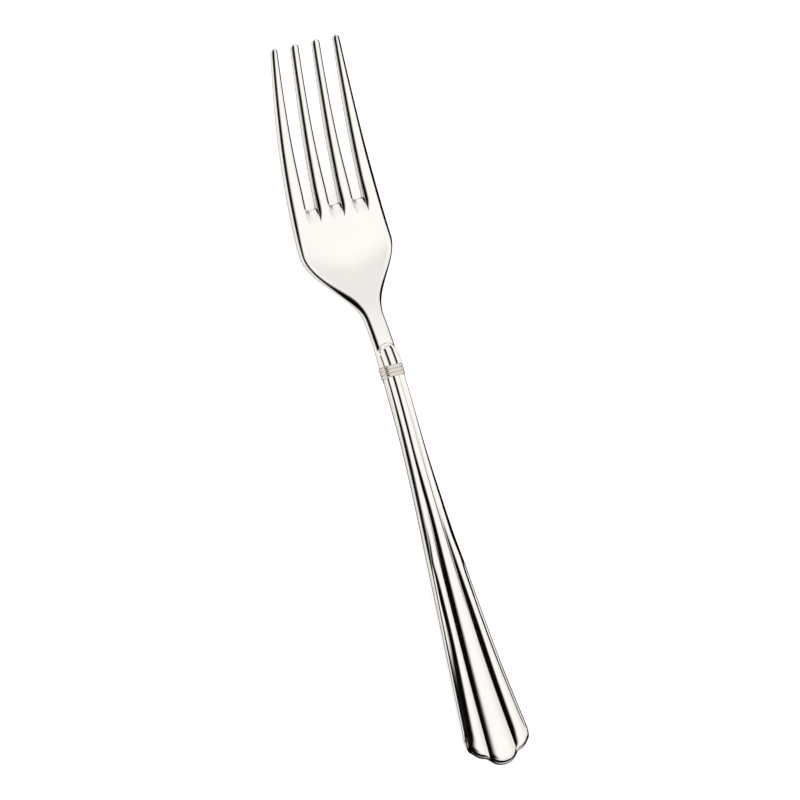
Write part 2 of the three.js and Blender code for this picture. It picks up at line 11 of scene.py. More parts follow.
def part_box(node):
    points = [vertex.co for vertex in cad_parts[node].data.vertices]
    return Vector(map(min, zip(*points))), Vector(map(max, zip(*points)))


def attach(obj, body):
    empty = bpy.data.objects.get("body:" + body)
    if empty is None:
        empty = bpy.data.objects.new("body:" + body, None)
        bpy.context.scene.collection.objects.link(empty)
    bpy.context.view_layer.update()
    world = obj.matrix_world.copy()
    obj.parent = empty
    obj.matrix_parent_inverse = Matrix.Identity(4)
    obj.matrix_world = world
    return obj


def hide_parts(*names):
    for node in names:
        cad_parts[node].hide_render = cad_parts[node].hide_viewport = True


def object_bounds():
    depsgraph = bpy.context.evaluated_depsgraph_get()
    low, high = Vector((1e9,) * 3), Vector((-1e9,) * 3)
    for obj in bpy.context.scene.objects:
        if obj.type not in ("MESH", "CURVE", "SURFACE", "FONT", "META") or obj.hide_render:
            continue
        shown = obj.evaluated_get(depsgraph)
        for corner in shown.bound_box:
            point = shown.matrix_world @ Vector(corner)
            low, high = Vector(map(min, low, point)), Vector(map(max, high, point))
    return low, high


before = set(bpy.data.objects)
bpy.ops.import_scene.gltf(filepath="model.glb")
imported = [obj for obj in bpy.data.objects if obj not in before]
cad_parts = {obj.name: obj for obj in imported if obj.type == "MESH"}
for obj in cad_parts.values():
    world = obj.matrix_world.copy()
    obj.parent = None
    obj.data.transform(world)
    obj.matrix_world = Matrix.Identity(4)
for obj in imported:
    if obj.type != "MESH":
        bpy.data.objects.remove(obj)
CAD_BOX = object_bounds()

bl_info = {
    "name": "Serving fork",
    "version": (1, 0, 0),
    "blender": (4, 5, 0),
    "location": "3D View > Sidebar > Fork",
    "description": "Builds a polished serving fork round its solid model",
    "category": "Object",
}

MM = 0.001
BODY = "root"
# Points closer than this are one point
SAME_PLACE = 1e-8
# Edges that bend by more than this stay sharp
CREASE = math.radians(50)
# Share of the shoulder's length at which its rounding is fullest
SHOULDER_FULLEST = 0.35

# Stations along the fork, in metres from the end of the handle
END = CAD_BOX[0].x
COLLAR_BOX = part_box("collar")
HEAD_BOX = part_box("fork_head")
MOUTH_X = COLLAR_BOX[0].x - END
NECK_X = COLLAR_BOX[1].x - END
TANG_X = HEAD_BOX[0].x - END
TIP_X = CAD_BOX[1].x - END


def length(name, description, millimetres):
    """A size in the sidebar, given in millimetres and kept in metres."""
    return FloatProperty(name=name, description=description, default=millimetres * MM, unit="LENGTH",
                         precision=5)


def share(name, description, value):
    """A plain number in the sidebar."""
    return FloatProperty(name=name, description=description, default=value, precision=3)


def angle(name, description, degrees):
    """An angle in the sidebar, given in degrees."""
    return FloatProperty(name=name, description=description, default=math.radians(degrees), subtype="ANGLE")


def tone(name, description, code):
    """A colour in the sidebar, given as an sRGB hex value."""
    return StringProperty(name=name, description=description, default=code)


def linear(code):
    """Linear RGBA of an sRGB hex value, by the sRGB curve."""
    parts = [int(code[i:i + 2], 16) / 255 for i in (1, 3, 5)]
    return [p / 12.92 if p <= 0.04045 else ((p + 0.055) / 1.055) ** 2.4 for p in parts] + [1.0]


class ForkLine(bpy.types.PropertyGroup):
    """Lengths, heights and thicknesses that the whole fork shares."""

    neck: length("Neck", "Length of the neck above the collar", 16)
    shoulder: length("Shoulder", "Length over which the neck widens to the palm", 25.5)
    palm: length("Palm", "Length from the widest place to the roots of the slots", 14.3)
    level_length: length("Level stretch", "Length of the handle that lies level", 32)
    mid_handle: length("Mid handle", "Distance from the end to the place where the handle rises", 75)
    end_rise: length("End rise", "Height of the middle of the steel at the handle's end", 1.95)
    level_rise: length("Level rise", "Height at the end of the level stretch", 2.15)
    mid_handle_rise: length("Mid handle rise", "Height where the handle rises", 4.25)
    collar_rise: length("Collar rise", "Height at the collar", 7.4)
    neck_rise: length("Neck rise", "Height where the neck ends", 6.6)
    bowl_rise: length("Bowl rise", "Height in the middle of the bowl", 3.15)
    root_rise: length("Root rise", "Height at the roots of the slots", 4)
    mid_tine_rise: length("Mid tine rise", "Height half-way along the tines", 8.85)
    tip_rise: length("Tip rise", "Height at the tips", 16.7)
    thin_length: length("Thin stretch", "Length of the handle's thin end", 15)
    thick_length: length("Thick stretch", "Distance from the end at which the handle's waist begins", 80)
    waist_end: length("Waist end", "Distance from the end at which the handle's waist ends", 100)
    arch: length("Arch", "Length of the ornament on the neck", 7.5)
    end_edge: length("End edge", "Thickness at the edge of the handle's end", 1.6)
    waist_edge: length("Waist edge", "Thickness at the edge of the handle's waist", 2.75)
    mouth_edge: length("Mouth edge", "Thickness at the edge of the handle's mouth", 3.7)
    neck_edge: length("Neck edge", "Thickness at the edge of the plain neck", 2.6)
    bowl_edge: length("Bowl edge", "Thickness at the rim of the bowl", 2.9)
    tine_edge: length("Tine edge", "Thickness of the tines", 3.1)
    tip_edge: length("Tip edge", "Thickness at the tips", 2.2)
    neck_back_swell: length("Neck back swell", "How far the neck's back swells past its edges", 0.6)


class HandleSizes(bpy.types.PropertyGroup):
    """Sizes of the two shells of the handle."""

    end_width: length("End width", "Width that the flare reaches at the handle's end", 26.1)
    mouth_width: length("Mouth width", "Width of the handle at the collar", 6.8)
    taper: share("Taper", "Power by which the handle flares", 1.62)
    back_swell: length("Back swell", "How far the back swells at the end", 1.5)
    groove_low: share("Groove, low", "Place of the grooves across half the width, in the wide half", 0.408)
    groove_high: share("Groove, high", "Place of the grooves at the mouth", 0.37)
    groove_lift: length("Groove lift", "Height of the grooves over the border at the end", 0.15)
    groove_sink: length("Groove sink", "Depth of the grooves under the edge in the slim half", 0.2)
    centre_rise: length("Centre rib", "Height of the centre rib over its grooves", 1.1)
    centre_mouth_rise: length("Centre rib at mouth", "Height of the centre rib near the collar", 0.45)
    side_rise: length("Side ribs", "Height of the side ribs over the grooves at the end", 1.05)
    side_slim_rise: length("Side ribs, slim", "Height of the side ribs in the slim half", 0.22)
    side_fade_start: length("Side ribs fade, start", "Where the side ribs begin to flatten", 38)
    side_fade_end: length("Side ribs fade, end", "Where the side ribs have flattened", 84)
    side_end: share("Side ribs at end", "Share of their height that they keep at the end", 0.65)
    side_end_fade: length("Side ribs, end fade", "Length over which they sink towards the end", 9)
    facet_start: length("Facets, start", "Where the side ribs begin to turn into leaning facets", 70)
    facet_end: length("Facets, end", "Where they have turned", 90)
    crest: share("Crest", "Place of a side rib's crest across it, in the wide half", 0.5)
    border: length("Border", "Width of the border outside the ribs at the end, rounding included", 1.4)
    border_narrow: length("Narrow border", "Width of the border where it starts to run out", 0.85)
    border_lean: share("Border lean", "Slope of the border outwards at the end", 0.44)
    level_border: length("Level border", "Where the border has become level", 56)
    wide_length: length("Wide half", "Where the border starts to run out", 62)
    slim_length: length("Slim half", "Where the border has run out", 78)
    edge_round: length("Edge rounding", "Width of the rounding of the edge in the wide half", 0.6)
    edge_fall: length("Edge fall", "Depth of that rounding", 0.48)
    slim_round: length("Slim rounding", "Width of the rounding of the edge in the slim half", 2.2)
    slim_fall: length("Slim fall", "Depth of that rounding", 1.2)
    foot: share("Foot", "Share of the edge's rounding that lies outside the ribs' feet in the slim half", 0.6)
    mouth_round: length("Mouth rounding", "Width of the rounding of the edge at the mouth", 1)
    mouth_fall: length("Mouth fall", "Depth of that rounding", 0.55)
    end_round: length("End rounding", "Width of the rounding round the lobed end", 1.5)
    end_fall: length("End fall", "Depth of that rounding", 0.68)
    back_round: length("Back rounding", "Rounding of the back's edge", 0.65)
    end_rim: length("End rim", "Width of the rim round the end", 0.7)
    rib_end: length("Rib end", "Length over which the ribs round off at the end", 2.2)
    end_fade: length("End fade", "Length over which the lobes of the end fade", 24)
    wall: length("Wall", "Wall of the shells", 0.5)
    seam: length("Seam", "Gap between the shells", 0.1)


class HeadSizes(bpy.types.PropertyGroup):
    """Sizes of the neck, palm and tines."""

    neck_width: length("Neck width", "Width of the neck", 7.1)
    width: length("Width", "Widest place of the head", 33.95)
    tip_span: length("Tip span", "Width over the tips", 25.6)
    sweep: share("Sweep", "Power by which the tines draw in", 1.45)
    slot_root: length("Slot root", "Width of the slots at their roots", 4)
    slot_middle: length("Slot middle", "Width of the slots half-way", 5.05)
    slot_tip: length("Slot tip", "Width of the slots at the tips", 5.15)
    root_pitch: length("Root pitch", "Distance between the slots at their roots", 8.88)
    tip_pitch: length("Tip pitch", "Distance between the slots at the tips", 7.95)
    run_out: length("Run-out", "Length over which the rounding of the tines runs out past a slot's root", 6)
    run_out_floor: share("Run-out floor", "Share of the run-out's depth that is left in a slot's middle", 0.6)
    root_depth: share("Root depth", "How much deeper the rounding is at a slot's root", 1.35)
    lip: length("Lip", "Rounding of the lip at the root of a slot", 0.4)
    root_bow: length("Root bow", "How far the root of a slot bows back", 0.4)
    point: length("Point", "Length over which a tine rounds to its point", 1.7)
    blunt: share("Bluntness", "Share of the tine that is left at its point", 0.3)
    neck_round: length("Neck rounding", "Width of the rounding of the neck's front edges", 1.6)
    neck_fall: length("Neck fall", "Depth of that rounding", 0.9)
    shoulder_round: length("Shoulder rounding", "Width of the rounding where the shoulder is fullest", 2.4)
    shoulder_fall: length("Shoulder fall", "Depth of that rounding", 1.55)
    shoulder_fullness: share("Shoulder fullness", "Power by which that rounding swells further in", 1.6)
    rim_round: length("Rim rounding", "Width of the rounding of the bowl's rim", 1.9)
    rim_fall: length("Rim fall", "Depth of that rounding", 0.95)
    tine_crown: share("Tine crown", "Share of a tine's width that each rounded edge takes", 0.46)
    tine_fall: length("Tine fall", "Depth of the rounding of the tines", 0.95)
    arch_round: length("Arch rounding", "Width of the rounding of the ornament's edges", 0.45)
    arch_fall: length("Arch fall", "Depth of that rounding", 0.3)
    back_round: length("Back rounding", "Rounding of the back edges", 1)
    dish: length("Dish", "Depth of the hollow of the bowl", 2)
    belly: length("Belly", "How far the back of the bowl swells", 1.9)
    front_swell: length("Front swell", "How far the neck's front swells", 0.25)
    arch_rise: length("Arch rise", "Height of the ornament over the plain neck", 0.3)
    arch_rim: length("Arch rim", "Width of the arch over the tongue", 1.1)
    arch_step: length("Arch step", "Width of the step at the arch's edge", 0.35)
    groove: length("Groove", "Distance of the grooves from the middle of the neck", 1.3)
    groove_depth: length("Groove depth", "Depth of the grooves on the neck", 0.38)
    groove_width: length("Groove width", "Half the width of the grooves on the neck", 0.55)
    tang_mouth_half: length("Tang at mouth", "Half the width of the tang at the handle's mouth", 2.6)
    tang_tip_half: length("Tang at tip", "Half the width of the tang's tip", 1.2)
    tang_front: length("Tang front", "Height of the tang's front over its middle, at the mouth", 0.375)
    tang_back: length("Tang back", "Depth of the tang's back under its middle, at the mouth", 0.575)
    tang_tip_thick: length("Tang tip thickness", "Half the thickness of the tang's tip", 0.3)


class CollarSizes(bpy.types.PropertyGroup):
    """Sizes of the beaded collar."""

    half: length("Half width", "Half the width of the collar between its beads", 3.45)
    thick: length("Half thickness", "Half the thickness of the collar between its beads", 2.5)
    beads: IntProperty(name="Beads", description="Beads along the collar", default=3, min=1)
    bead_rise: length("Bead rise", "Height of the beads", 0.32)
    bore_half: length("Bore half width", "Half the width of the bore", 2.9)
    bore_front: length("Bore front", "Height of the bore over its middle", 0.675)
    bore_back: length("Bore back", "Depth of the bore under its middle", 0.875)


class SteelFinish(bpy.types.PropertyGroup):
    """Colours and polish of the steel and the cement."""

    bright: tone("Bright steel", "Tone of the polished steel", "#EFECE8")
    shaded: tone("Shaded steel", "Tone where the polish is thinner", "#E9E5E1")
    mirror: share("Mirror", "Roughness where the steel is best polished", 0.08)
    haze: share("Haze", "Roughness where the polish is hazy", 0.13)
    haze_size: length("Haze size", "Size of the hazy patches", 7)
    buff_spacing: length("Buffing lines", "Spacing of the lines, coarser than real so that they show", 0.4)
    buff_length: length("Buffing length", "Length of the buffing lines", 9)
    satin: tone("Satin steel", "Tone of the satin steel of the collar", "#DCD6CF")
    satin_dark: tone("Satin steel, dark", "Tone of its duller patches", "#D0C9C2")
    satin_polish: share("Satin", "Roughness of the satin steel", 0.2)
    cement: tone("Cement", "Tone of the cement in the handle", "#8D8677")
    cement_dark: tone("Cement, dark", "Tone of the cement's darker grains", "#6F695C")
    cement_grain: length("Cement grain", "Size of the cement's grains", 0.8)


class StudioSettings(bpy.types.PropertyGroup):
    """Camera, softbox, felts, cards and floor."""

    azimuth: angle("Azimuth", "Side from which the camera looks, from +X towards +Y", 101.31)
    elevation: angle("Elevation", "Height of the camera over the floor", 59.48)
    roll: angle("Roll", "Turn of the camera about its view", 62.94)
    distance: length("Distance", "Distance of the camera from its target", 4500)
    target: FloatVectorProperty(name="Target", description="Point in the middle of the picture",
                                default=(1.935 * MM, -2.914 * MM, 1.908 * MM), subtype="TRANSLATION")
    lens: FloatProperty(name="Lens", description="Focal length in millimetres", default=631.7)
    sensor: FloatProperty(name="Sensor", description="Width of the sensor in millimetres", default=36.0)
    softbox_tilt: angle("Softbox tilt", "Lean of the softbox from overhead towards -Y", 26)
    softbox_lean: angle("Softbox lean", "Lean of the softbox towards the handle", 7)
    softbox_distance: length("Softbox distance", "Distance of the softbox", 1900)
    softbox_size: length("Softbox size", "Width of the softbox", 3600)
    softbox_power: FloatProperty(name="Softbox power", description="Power of the softbox in watts",
                                 default=7.8)
    drape_radius: length("Drape radius", "Distance of the dark drape", 2400)
    drape_edge: angle("Drape edge", "Lean of the drape's clear edge from overhead, towards +Y", -12)
    drape_feather: angle("Drape feather", "Angle over which the drape thins to its clear edge", 30)
    drape_foot: angle("Drape foot", "Lean of the drape's lower edge from overhead, towards +Y", 76)
    drape_foot_feather: angle("Drape foot feather", "Angle over which the drape thins to its lower edge", 8)
    drape_end: angle("Drape end", "Angle along the fork at which the drape ends on both sides", 52)
    drape_end_feather: angle("Drape end feather", "Angle over which it thins to these ends", 20)
    skirt_handle: angle("Skirt, handle side", "Height of the dark skirt past the handle's end", 16)
    skirt_far: angle("Skirt, far side", "Height of the dark skirt on -Y", 2)
    skirt_tines: angle("Skirt, tine side", "Height of the dark skirt past the tips", 12)
    drape_tone: tone("Drape", "Tone of the felt drape", "#0B0A09")
    # The standing cards outline the edges as a photographer's black cards do, and they also stand in for the
    # shade on the floor beside the fork, seen only in the steel.
    card_gap: length("Card gap", "Distance of the black cards from the edges that they outline", 1.5)
    slot_card_gap: length("Slot card gap", "Distance of the cards in the slots from the tines", 1.2)
    card_depth: length("Card depth", "How far a card reaches below the edge", 3)
    card_low: length("Card, low", "How far a card rises above the edge in the handle's wide half", 0.55)
    card_high: length("Card, high", "How far it rises above the edge elsewhere", 2.4)
    card_fade: length("Card fade", "Where the card has come down to its height beside the neck", 112)
    card_neck: length("Card, neck", "How far it rises above the edge beside the neck", 0.4)
    slot_card_high: length("Slot card", "How far the cards in the slots reach above the tines", 0.8)
    card_lift: length("Card lift", "Least height of a card over the floor", 0.2)
    # The lying cards are painted shade: black sheets under the back corners that stand for the shaded floor
    # beneath the fork, seen only in the steel.
    under_gap: length("Under gap", "Distance of the lying cards below the back corners", 0.35)
    under_reach: length("Under reach", "How far the lying cards reach past the edges", 0.36)
    under_width: length("Under width", "How far they reach under the fork", 1.2)
    floor_size: length("Floor", "Half the size of the floor", 2300)
    floor_tone: tone("Floor tone", "Tone of the floor", "#D6D4D0")
    floor_glow: share("Floor glow", "Light of the floor as the camera sees it, so that it is white", 0.62)
    floor_sheen: share("Floor sheen", "Light of the floor as the steel mirrors it", 0.43)


def smoothstep(x, start, end):
    """Eased rise from 0 at start to 1 at end: 3t squared less 2t cubed."""
    t = np.clip((x - start) / (end - start), 0, 1)
    return t * t * (3 - 2 * t)


def mix(a, b, t):
    """Straight blend from a to b."""
    return a + (b - a) * t


def eased(x, knots):
    """Level values joined by eased slopes, from (position, value) pairs."""
    value = np.full_like(np.asarray(x, float), knots[0][1])
    for (start, before), (end, after) in zip(knots, knots[1:]):
        value = value + (after - before) * smoothstep(x, start, end)
    return value


def spline(x, knots):
    """Natural cubic spline through (position, value) pairs: second slopes from a tridiagonal system."""
    at, value = np.array(knots, float).T
    step = np.diff(at)
    slope = np.diff(value) / step
    system = np.eye(len(at))
    rows = np.arange(1, len(at) - 1)
    system[rows, rows - 1] = step[:-1]
    system[rows, rows] = 2 * (step[:-1] + step[1:])
    system[rows, rows + 1] = step[1:]
    bend = np.linalg.solve(system, np.concatenate([[0], 6 * np.diff(slope), [0]]))
    x = np.asarray(x, float)
    k = np.clip(np.searchsorted(at, x) - 1, 0, len(step) - 1)
    after = (x - at[k]) / step[k]
    before = 1 - after
    curl = bend[k] * (before ** 3 - before) + bend[k + 1] * (after ** 3 - after)
    return mix(value[k], value[k + 1], after) + curl * step[k] ** 2 / 6


def quarter_round(distance, width, depth):
    """Fall of a rounded edge at a distance in from it: a quarter ellipse, and nothing past its width."""
    inward = np.clip(1 - distance / width, 0, 1)
    return depth * (1 - np.sqrt(1 - inward ** 2))


class Stations:
    """Places along the fork, worked out from its lengths."""

    def __init__(self, line):
        self.arch = NECK_X + line.arch
        self.shoulder = NECK_X + line.neck
        self.widest = self.shoulder + line.shoulder
        self.fullest = mix(self.shoulder, self.widest, SHOULDER_FULLEST)
        self.root = self.widest + line.palm
        self.bowl = (self.shoulder + self.root) / 2
        self.tines = TIP_X - self.root


def middle(line, x):
    """Height of the middle of the steel: a spline over the resting places, collar, neck, roots and tips."""
    at = Stations(line)
    return spline(x, [
        (0, line.end_rise),
        (line.level_length, line.level_rise),
        (line.mid_handle, line.mid_handle_rise),
        ((MOUTH_X + NECK_X) / 2, line.collar_rise),
        (at.shoulder, line.neck_rise),
        (at.bowl, line.bowl_rise),
        (at.root, line.root_rise),
        (at.root + at.tines / 2, line.mid_tine_rise),
        (TIP_X, line.tip_rise),
    ])


def edge(line, x):
    """Thickness at the edges, eased from station to station."""
    at = Stations(line)
    return eased(x, [
        (line.thin_length, line.end_edge),
        (line.thick_length, line.waist_edge),
        (line.waist_end, line.waist_edge),
        (MOUTH_X, line.mouth_edge),
        (NECK_X, line.mouth_edge),
        (at.arch, line.neck_edge),
        (at.shoulder, line.neck_edge),
        (at.bowl, line.bowl_edge),
        (at.root, line.tine_edge),
        (at.root + at.tines / 2, line.tine_edge),
        (TIP_X, line.tip_edge),
    ])


def sheet_faces(keep):
    """Quads of a front grid, a back grid and the walls between them, for the cells that are kept.
    A wall stands wherever a kept cell has no kept neighbour. The back grid follows the front one."""
    rows, columns = keep.shape[0] + 1, keep.shape[1] + 1
    f = np.arange(rows * columns).reshape(rows, columns)
    b = f + rows * columns
    f00, f10, f11, f01 = f[:-1, :-1], f[1:, :-1], f[1:, 1:], f[:-1, 1:]
    b00, b10, b11, b01 = b[:-1, :-1], b[1:, :-1], b[1:, 1:], b[:-1, 1:]
    padded = np.pad(keep, 1)
    inner = (slice(1, -1), slice(1, -1))
    open_low_y = keep & ~np.roll(padded, 1, 1)[inner]
    open_high_y = keep & ~np.roll(padded, -1, 1)[inner]
    open_low_x = keep & ~np.roll(padded, 1, 0)[inner]
    open_high_x = keep & ~np.roll(padded, -1, 0)[inner]
    quads = [
        (keep, (f00, f10, f11, f01)),
        (keep, (b00, b01, b11, b10)),
        (open_low_y, (f00, b00, b10, f10)),
        (open_high_y, (f01, f11, b11, b01)),
        (open_low_x, (f00, f01, b01, b00)),
        (open_high_x, (f10, b10, b11, f11)),
    ]
    return np.concatenate([np.stack([corner[mask] for corner in corners], -1) for mask, corners in quads])


def add_piece(name, node, points, faces, material):
    """Mesh object at the origin from points and quads, smooth but for creases, that stands for a CAD node.
    Points in the same place are merged, which closes the corners of the seam."""
    used, faces = np.unique(faces, return_inverse=True)
    faces = faces.reshape(-1, 4)
    mesh = bpy.data.meshes.new(name)
    mesh.from_pydata((points[used] + [END, 0, 0]).tolist(), [], faces.tolist())
    merged = bmesh.new()
    merged.from_mesh(mesh)
    bmesh.ops.remove_doubles(merged, verts=merged.verts, dist=SAME_PLACE)
    merged.to_mesh(mesh)
    merged.free()
    mesh.materials.append(material)
    mesh.shade_smooth()
    mesh.set_sharp_from_angle(angle=CREASE)
    if mesh.validate():
        raise RuntimeError(f"{name} had faulty faces")
    piece = bpy.data.objects.new(name, mesh)
    bpy.context.scene.collection.objects.link(piece)
    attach(piece, BODY)
    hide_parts(node)


def add_sheet(name, node, front, back, keep, material):
    """Piece between a front grid and a back grid of points."""
    points = np.concatenate([front.reshape(-1, 3), back.reshape(-1, 3)])
    add_piece(name, node, points, sheet_faces(keep), material)


# Handle. A lane runs the length of it: 0 to 1 over half the centre rib, 1 to 2 over a side rib,
# 2 to 3 over the border, 3 to 4 round the edge, and 5 at the seam.
EDGE_LANE = 4
SEAM_LANE = 5
# Counts of lanes over half the centre rib, a side rib, the border and the rounding
CENTRE_LANES, SIDE_LANES, BORDER_LANES, ROUND_LANES = 18, 25, 6, 9
# Counts of insets over the rim, the ends of the ribs, the lobes, the wide half and the slim half
RIM_INSETS, RIB_END_INSETS, LOBE_INSETS, WIDE_INSETS, SLIM_INSETS = 16, 16, 36, 40, 60
# Power that crowds the insets towards the end's outline
RIM_CROWDING = 1.7
# Share of the rim that the edge's rounding may take: the rest stays a strip, so that no face has zero width
ROUNDED_SHARE = 0.85
# Share of the way to the mouth at which the centre rib has come down to its height there
CENTRE_DOWN = 0.82
# Powers of the slopes of the centre rib, of a side rib and of a facet
CENTRE_POWER, SIDE_POWER, FACET_POWER = 3, 2.5, 1.3
# Share across a side rib from which it counts as its foot, and least share that its outer slope is given
FOOT_SHARE, LEAST_SLOPE = 0.999, 1e-4
# Least step across between two lanes of the end
LEAST_STEP = 1e-7
# Setback of the end's outline at shares of half its width, which gives the end its lobes
END_LOBES = [
    (0, 0), (0.18, 0.35 * MM), (0.35, 1.75 * MM), (0.46, 2.95 * MM), (0.6, 3.55 * MM),
    (0.75, 4.6 * MM), (0.88, 6 * MM), (0.96, 7.6 * MM), (1, 9.6 * MM),
]


def handle_lanes():
    """Lanes over the whole width, close together at the grooves and round the edge."""
    centre = np.sin(np.linspace(0, np.pi / 2, CENTRE_LANES))
    side = 1.5 - 0.5 * np.cos(np.linspace(0, np.pi, SIDE_LANES)[1:])
    border = np.linspace(2, 3, BORDER_LANES)[1:]
    rounding = EDGE_LANE - np.cos(np.linspace(0, np.pi / 2, ROUND_LANES)[1:])
    half = np.concatenate([centre, side, border, rounding, [SEAM_LANE]])
    return np.concatenate([-half[:0:-1], half])


def handle_insets(handle):
    """Distances in from the end: close together round the edge and where the ribs end. The end itself stands
    twice, once for the seam and once for the shell's edge."""
    rim = handle.end_round * np.linspace(0, 1, RIM_INSETS) ** RIM_CROWDING
    ends = np.linspace(handle.end_round, handle.end_rim + handle.rib_end, RIB_END_INSETS)[1:]
    lobes = np.linspace(ends[-1], handle.end_fade, LOBE_INSETS)[1:]
    wide = np.linspace(handle.end_fade, handle.wide_length, WIDE_INSETS)[1:]
    slim = np.linspace(handle.wide_length, MOUTH_X, SLIM_INSETS)[1:]
    return np.concatenate([[0], rim, ends, lobes, wide, slim])


def handle_half(handle, x):
    """Half the width: the mouth's, flaring by a power of the way back to the end."""
    along = np.clip(1 - x / MOUTH_X, 0, 1)
    return mix(handle.mouth_width, handle.end_width, along ** handle.taper) / 2


def edge_rounding(line, handle, x):
    """Width and depth of the rounding of the front edge, eased from wide half to waist to mouth."""
    places = (handle.wide_length, handle.slim_length, line.waist_end, MOUTH_X)
    widths = (handle.edge_round, handle.slim_round, handle.slim_round, handle.mouth_round)
    depths = (handle.edge_fall, handle.slim_fall, handle.slim_fall, handle.mouth_fall)
    return eased(x, list(zip(places, widths))), eased(x, list(zip(places, depths)))


def border_width(handle, x):
    """Width of the border outside the ribs, which narrows and then runs out in the slim half."""
    return eased(x, [(handle.end_fade, handle.border), (handle.wide_length, handle.border_narrow),
                     (handle.slim_length, 0)])


def lane_offset(line, handle, x, lane):
    """Distance of a lane from the middle: straight between rib, groove, foot, edge rounding and edge."""
    half = handle_half(handle, x)
    radius, _ = edge_rounding(line, handle, x)
    groove = half * mix(handle.groove_low, handle.groove_high, smoothstep(x, handle.wide_length, MOUTH_X))
    rim = np.maximum(border_width(handle, x), handle.foot * radius)
    rounded = np.minimum(radius, ROUNDED_SHARE * rim)
    across = np.abs(lane)
    offset = groove * np.clip(across, 0, 1) + (half - rim - groove) * np.clip(across - 1, 0, 1)
    offset = offset + (rim - rounded) * np.clip(across - 2, 0, 1) + rounded * np.clip(across - 3, 0, 1)
    return np.sign(lane) * offset


def handle_plan(line, handle, inset, lane):
    """Place along and across of each inset and lane: near the end the lobes set the lanes back."""
    outward = np.abs(lane_offset(line, handle, np.zeros_like(lane), lane)) / handle_half(handle, 0.0)
    setback = spline(outward, END_LOBES)
    x = inset + setback * (1 - smoothstep(inset, 0, handle.end_fade))
    return x, lane_offset(line, handle, x, lane)


def end_distance(inset, x, y):
    """Distance in from the end's outline: the inset, shortened where the outline slants."""
    slant = np.gradient(x[0]) / np.maximum(np.gradient(y[0]), LEAST_STEP)
    return inset / np.sqrt(1 + slant ** 2)


def rib_height(line, handle, inset, x, y, lane):
    """Height of ribs, grooves and border over the edge's level. The centre rib falls away by a cube of the
    way to the groove. A side rib climbs by a power from the groove to its crest and falls likewise to the
    border, which leans outwards at the end. The side ribs sink a little at the end. Towards the collar they
    flatten, their crest moves out to the edge, and they become leaning facets."""
    across = np.abs(lane)
    radius, _ = edge_rounding(line, handle, x)
    lean = handle.border_lean * (1 - smoothstep(x, handle.end_fade, handle.level_border))
    slim = smoothstep(x, handle.facet_start, handle.facet_end)
    fade = smoothstep(x, handle.side_fade_start, handle.side_fade_end)
    groove = mix(handle.groove_lift, -handle.groove_sink, fade)
    down = smoothstep(x, handle.slim_length, CENTRE_DOWN * MOUTH_X)
    centre = mix(handle.centre_rise, handle.centre_mouth_rise, down)
    side = mix(handle.side_rise, handle.side_slim_rise, fade)
    side = side * mix(handle.side_end, 1, smoothstep(inset, 0, handle.side_end_fade))
    border = lean * np.maximum(border_width(handle, x) - radius, 0)
    crest = mix(handle.crest, 1.0, slim)
    power = mix(SIDE_POWER, FACET_POWER, slim)
    rib = np.clip(across - 1, 0, 1)
    climb = np.clip((crest - rib) / crest, 0, 1) ** power
    fall = np.clip((rib - crest) / np.maximum(1 - crest, LEAST_SLOPE), 0, 1) ** SIDE_POWER
    top = groove + side
    sides = top - side * climb - (top - border) * fall * (1 - slim) - top * slim * (rib > FOOT_SHARE)
    middle_rib = groove + centre * (1 - np.clip(across, 0, 1) ** CENTRE_POWER)
    edge_strip = lean * (handle_half(handle, x) - radius - np.abs(y))
    return np.where(across < 1, middle_rib, np.where(across < 2, sides, edge_strip))


def rim_fall(handle, inset, x, y, along_edge, round_end):
    """Fall of the roundings along the edge and round the end, whichever is deeper, from widths and depths."""
    return np.maximum(quarter_round(handle_half(handle, x) - np.abs(y), *along_edge),
                      quarter_round(end_distance(inset, x, y), *round_end))


def shell_front(line, handle, inset, lane):
    """Ribbed front of the handle: the edge's level plus the ribs, less a quarter round along the edge."""
    x, y = handle_plan(line, handle, inset, lane)
    level = middle(line, x) + edge(line, x) / 2
    round_end = (handle.end_round, handle.end_fall)
    fall = rim_fall(handle, inset, x, y, edge_rounding(line, handle, x), round_end)
    ribs = rib_height(line, handle, inset, x, y, lane)
    ribs = ribs * (1 - quarter_round(inset - handle.end_rim, handle.rib_end, 1))
    return x, y, level + ribs - fall


def shell_back(line, handle, inset, lane):
    """Plain back of the handle: a parabola across, flattened where it rests, with a quarter round edge."""
    x, y = handle_plan(line, handle, inset, lane)
    level = middle(line, x) - edge(line, x) / 2
    swell = mix(handle.back_swell, line.neck_back_swell, x / MOUTH_X)
    ending = smoothstep(inset, -handle.end_rim, 2 * handle.rib_end)
    rounding = (handle.back_round, handle.back_round)
    fall = rim_fall(handle, inset, x, y, rounding, rounding)
    bow = 1 - (y / handle_half(handle, x)) ** 2
    return x, y, np.maximum(0, level - swell * ending * bow) + fall


def shell_lining(line, handle, inset, x, y, z, side):
    """Inside of a shell: one wall in from the outside, and level with the seam at the rim."""
    seam = middle(line, x) + side * handle.seam / 2
    height = np.maximum(side * (z - seam) - handle.wall, handle.seam)
    inner_x = x + handle.wall * (1 - smoothstep(inset, 0, handle.end_fade))
    inner_y = y * (1 - handle.wall / handle_half(handle, x))
    return inner_x, inner_y, seam + side * height


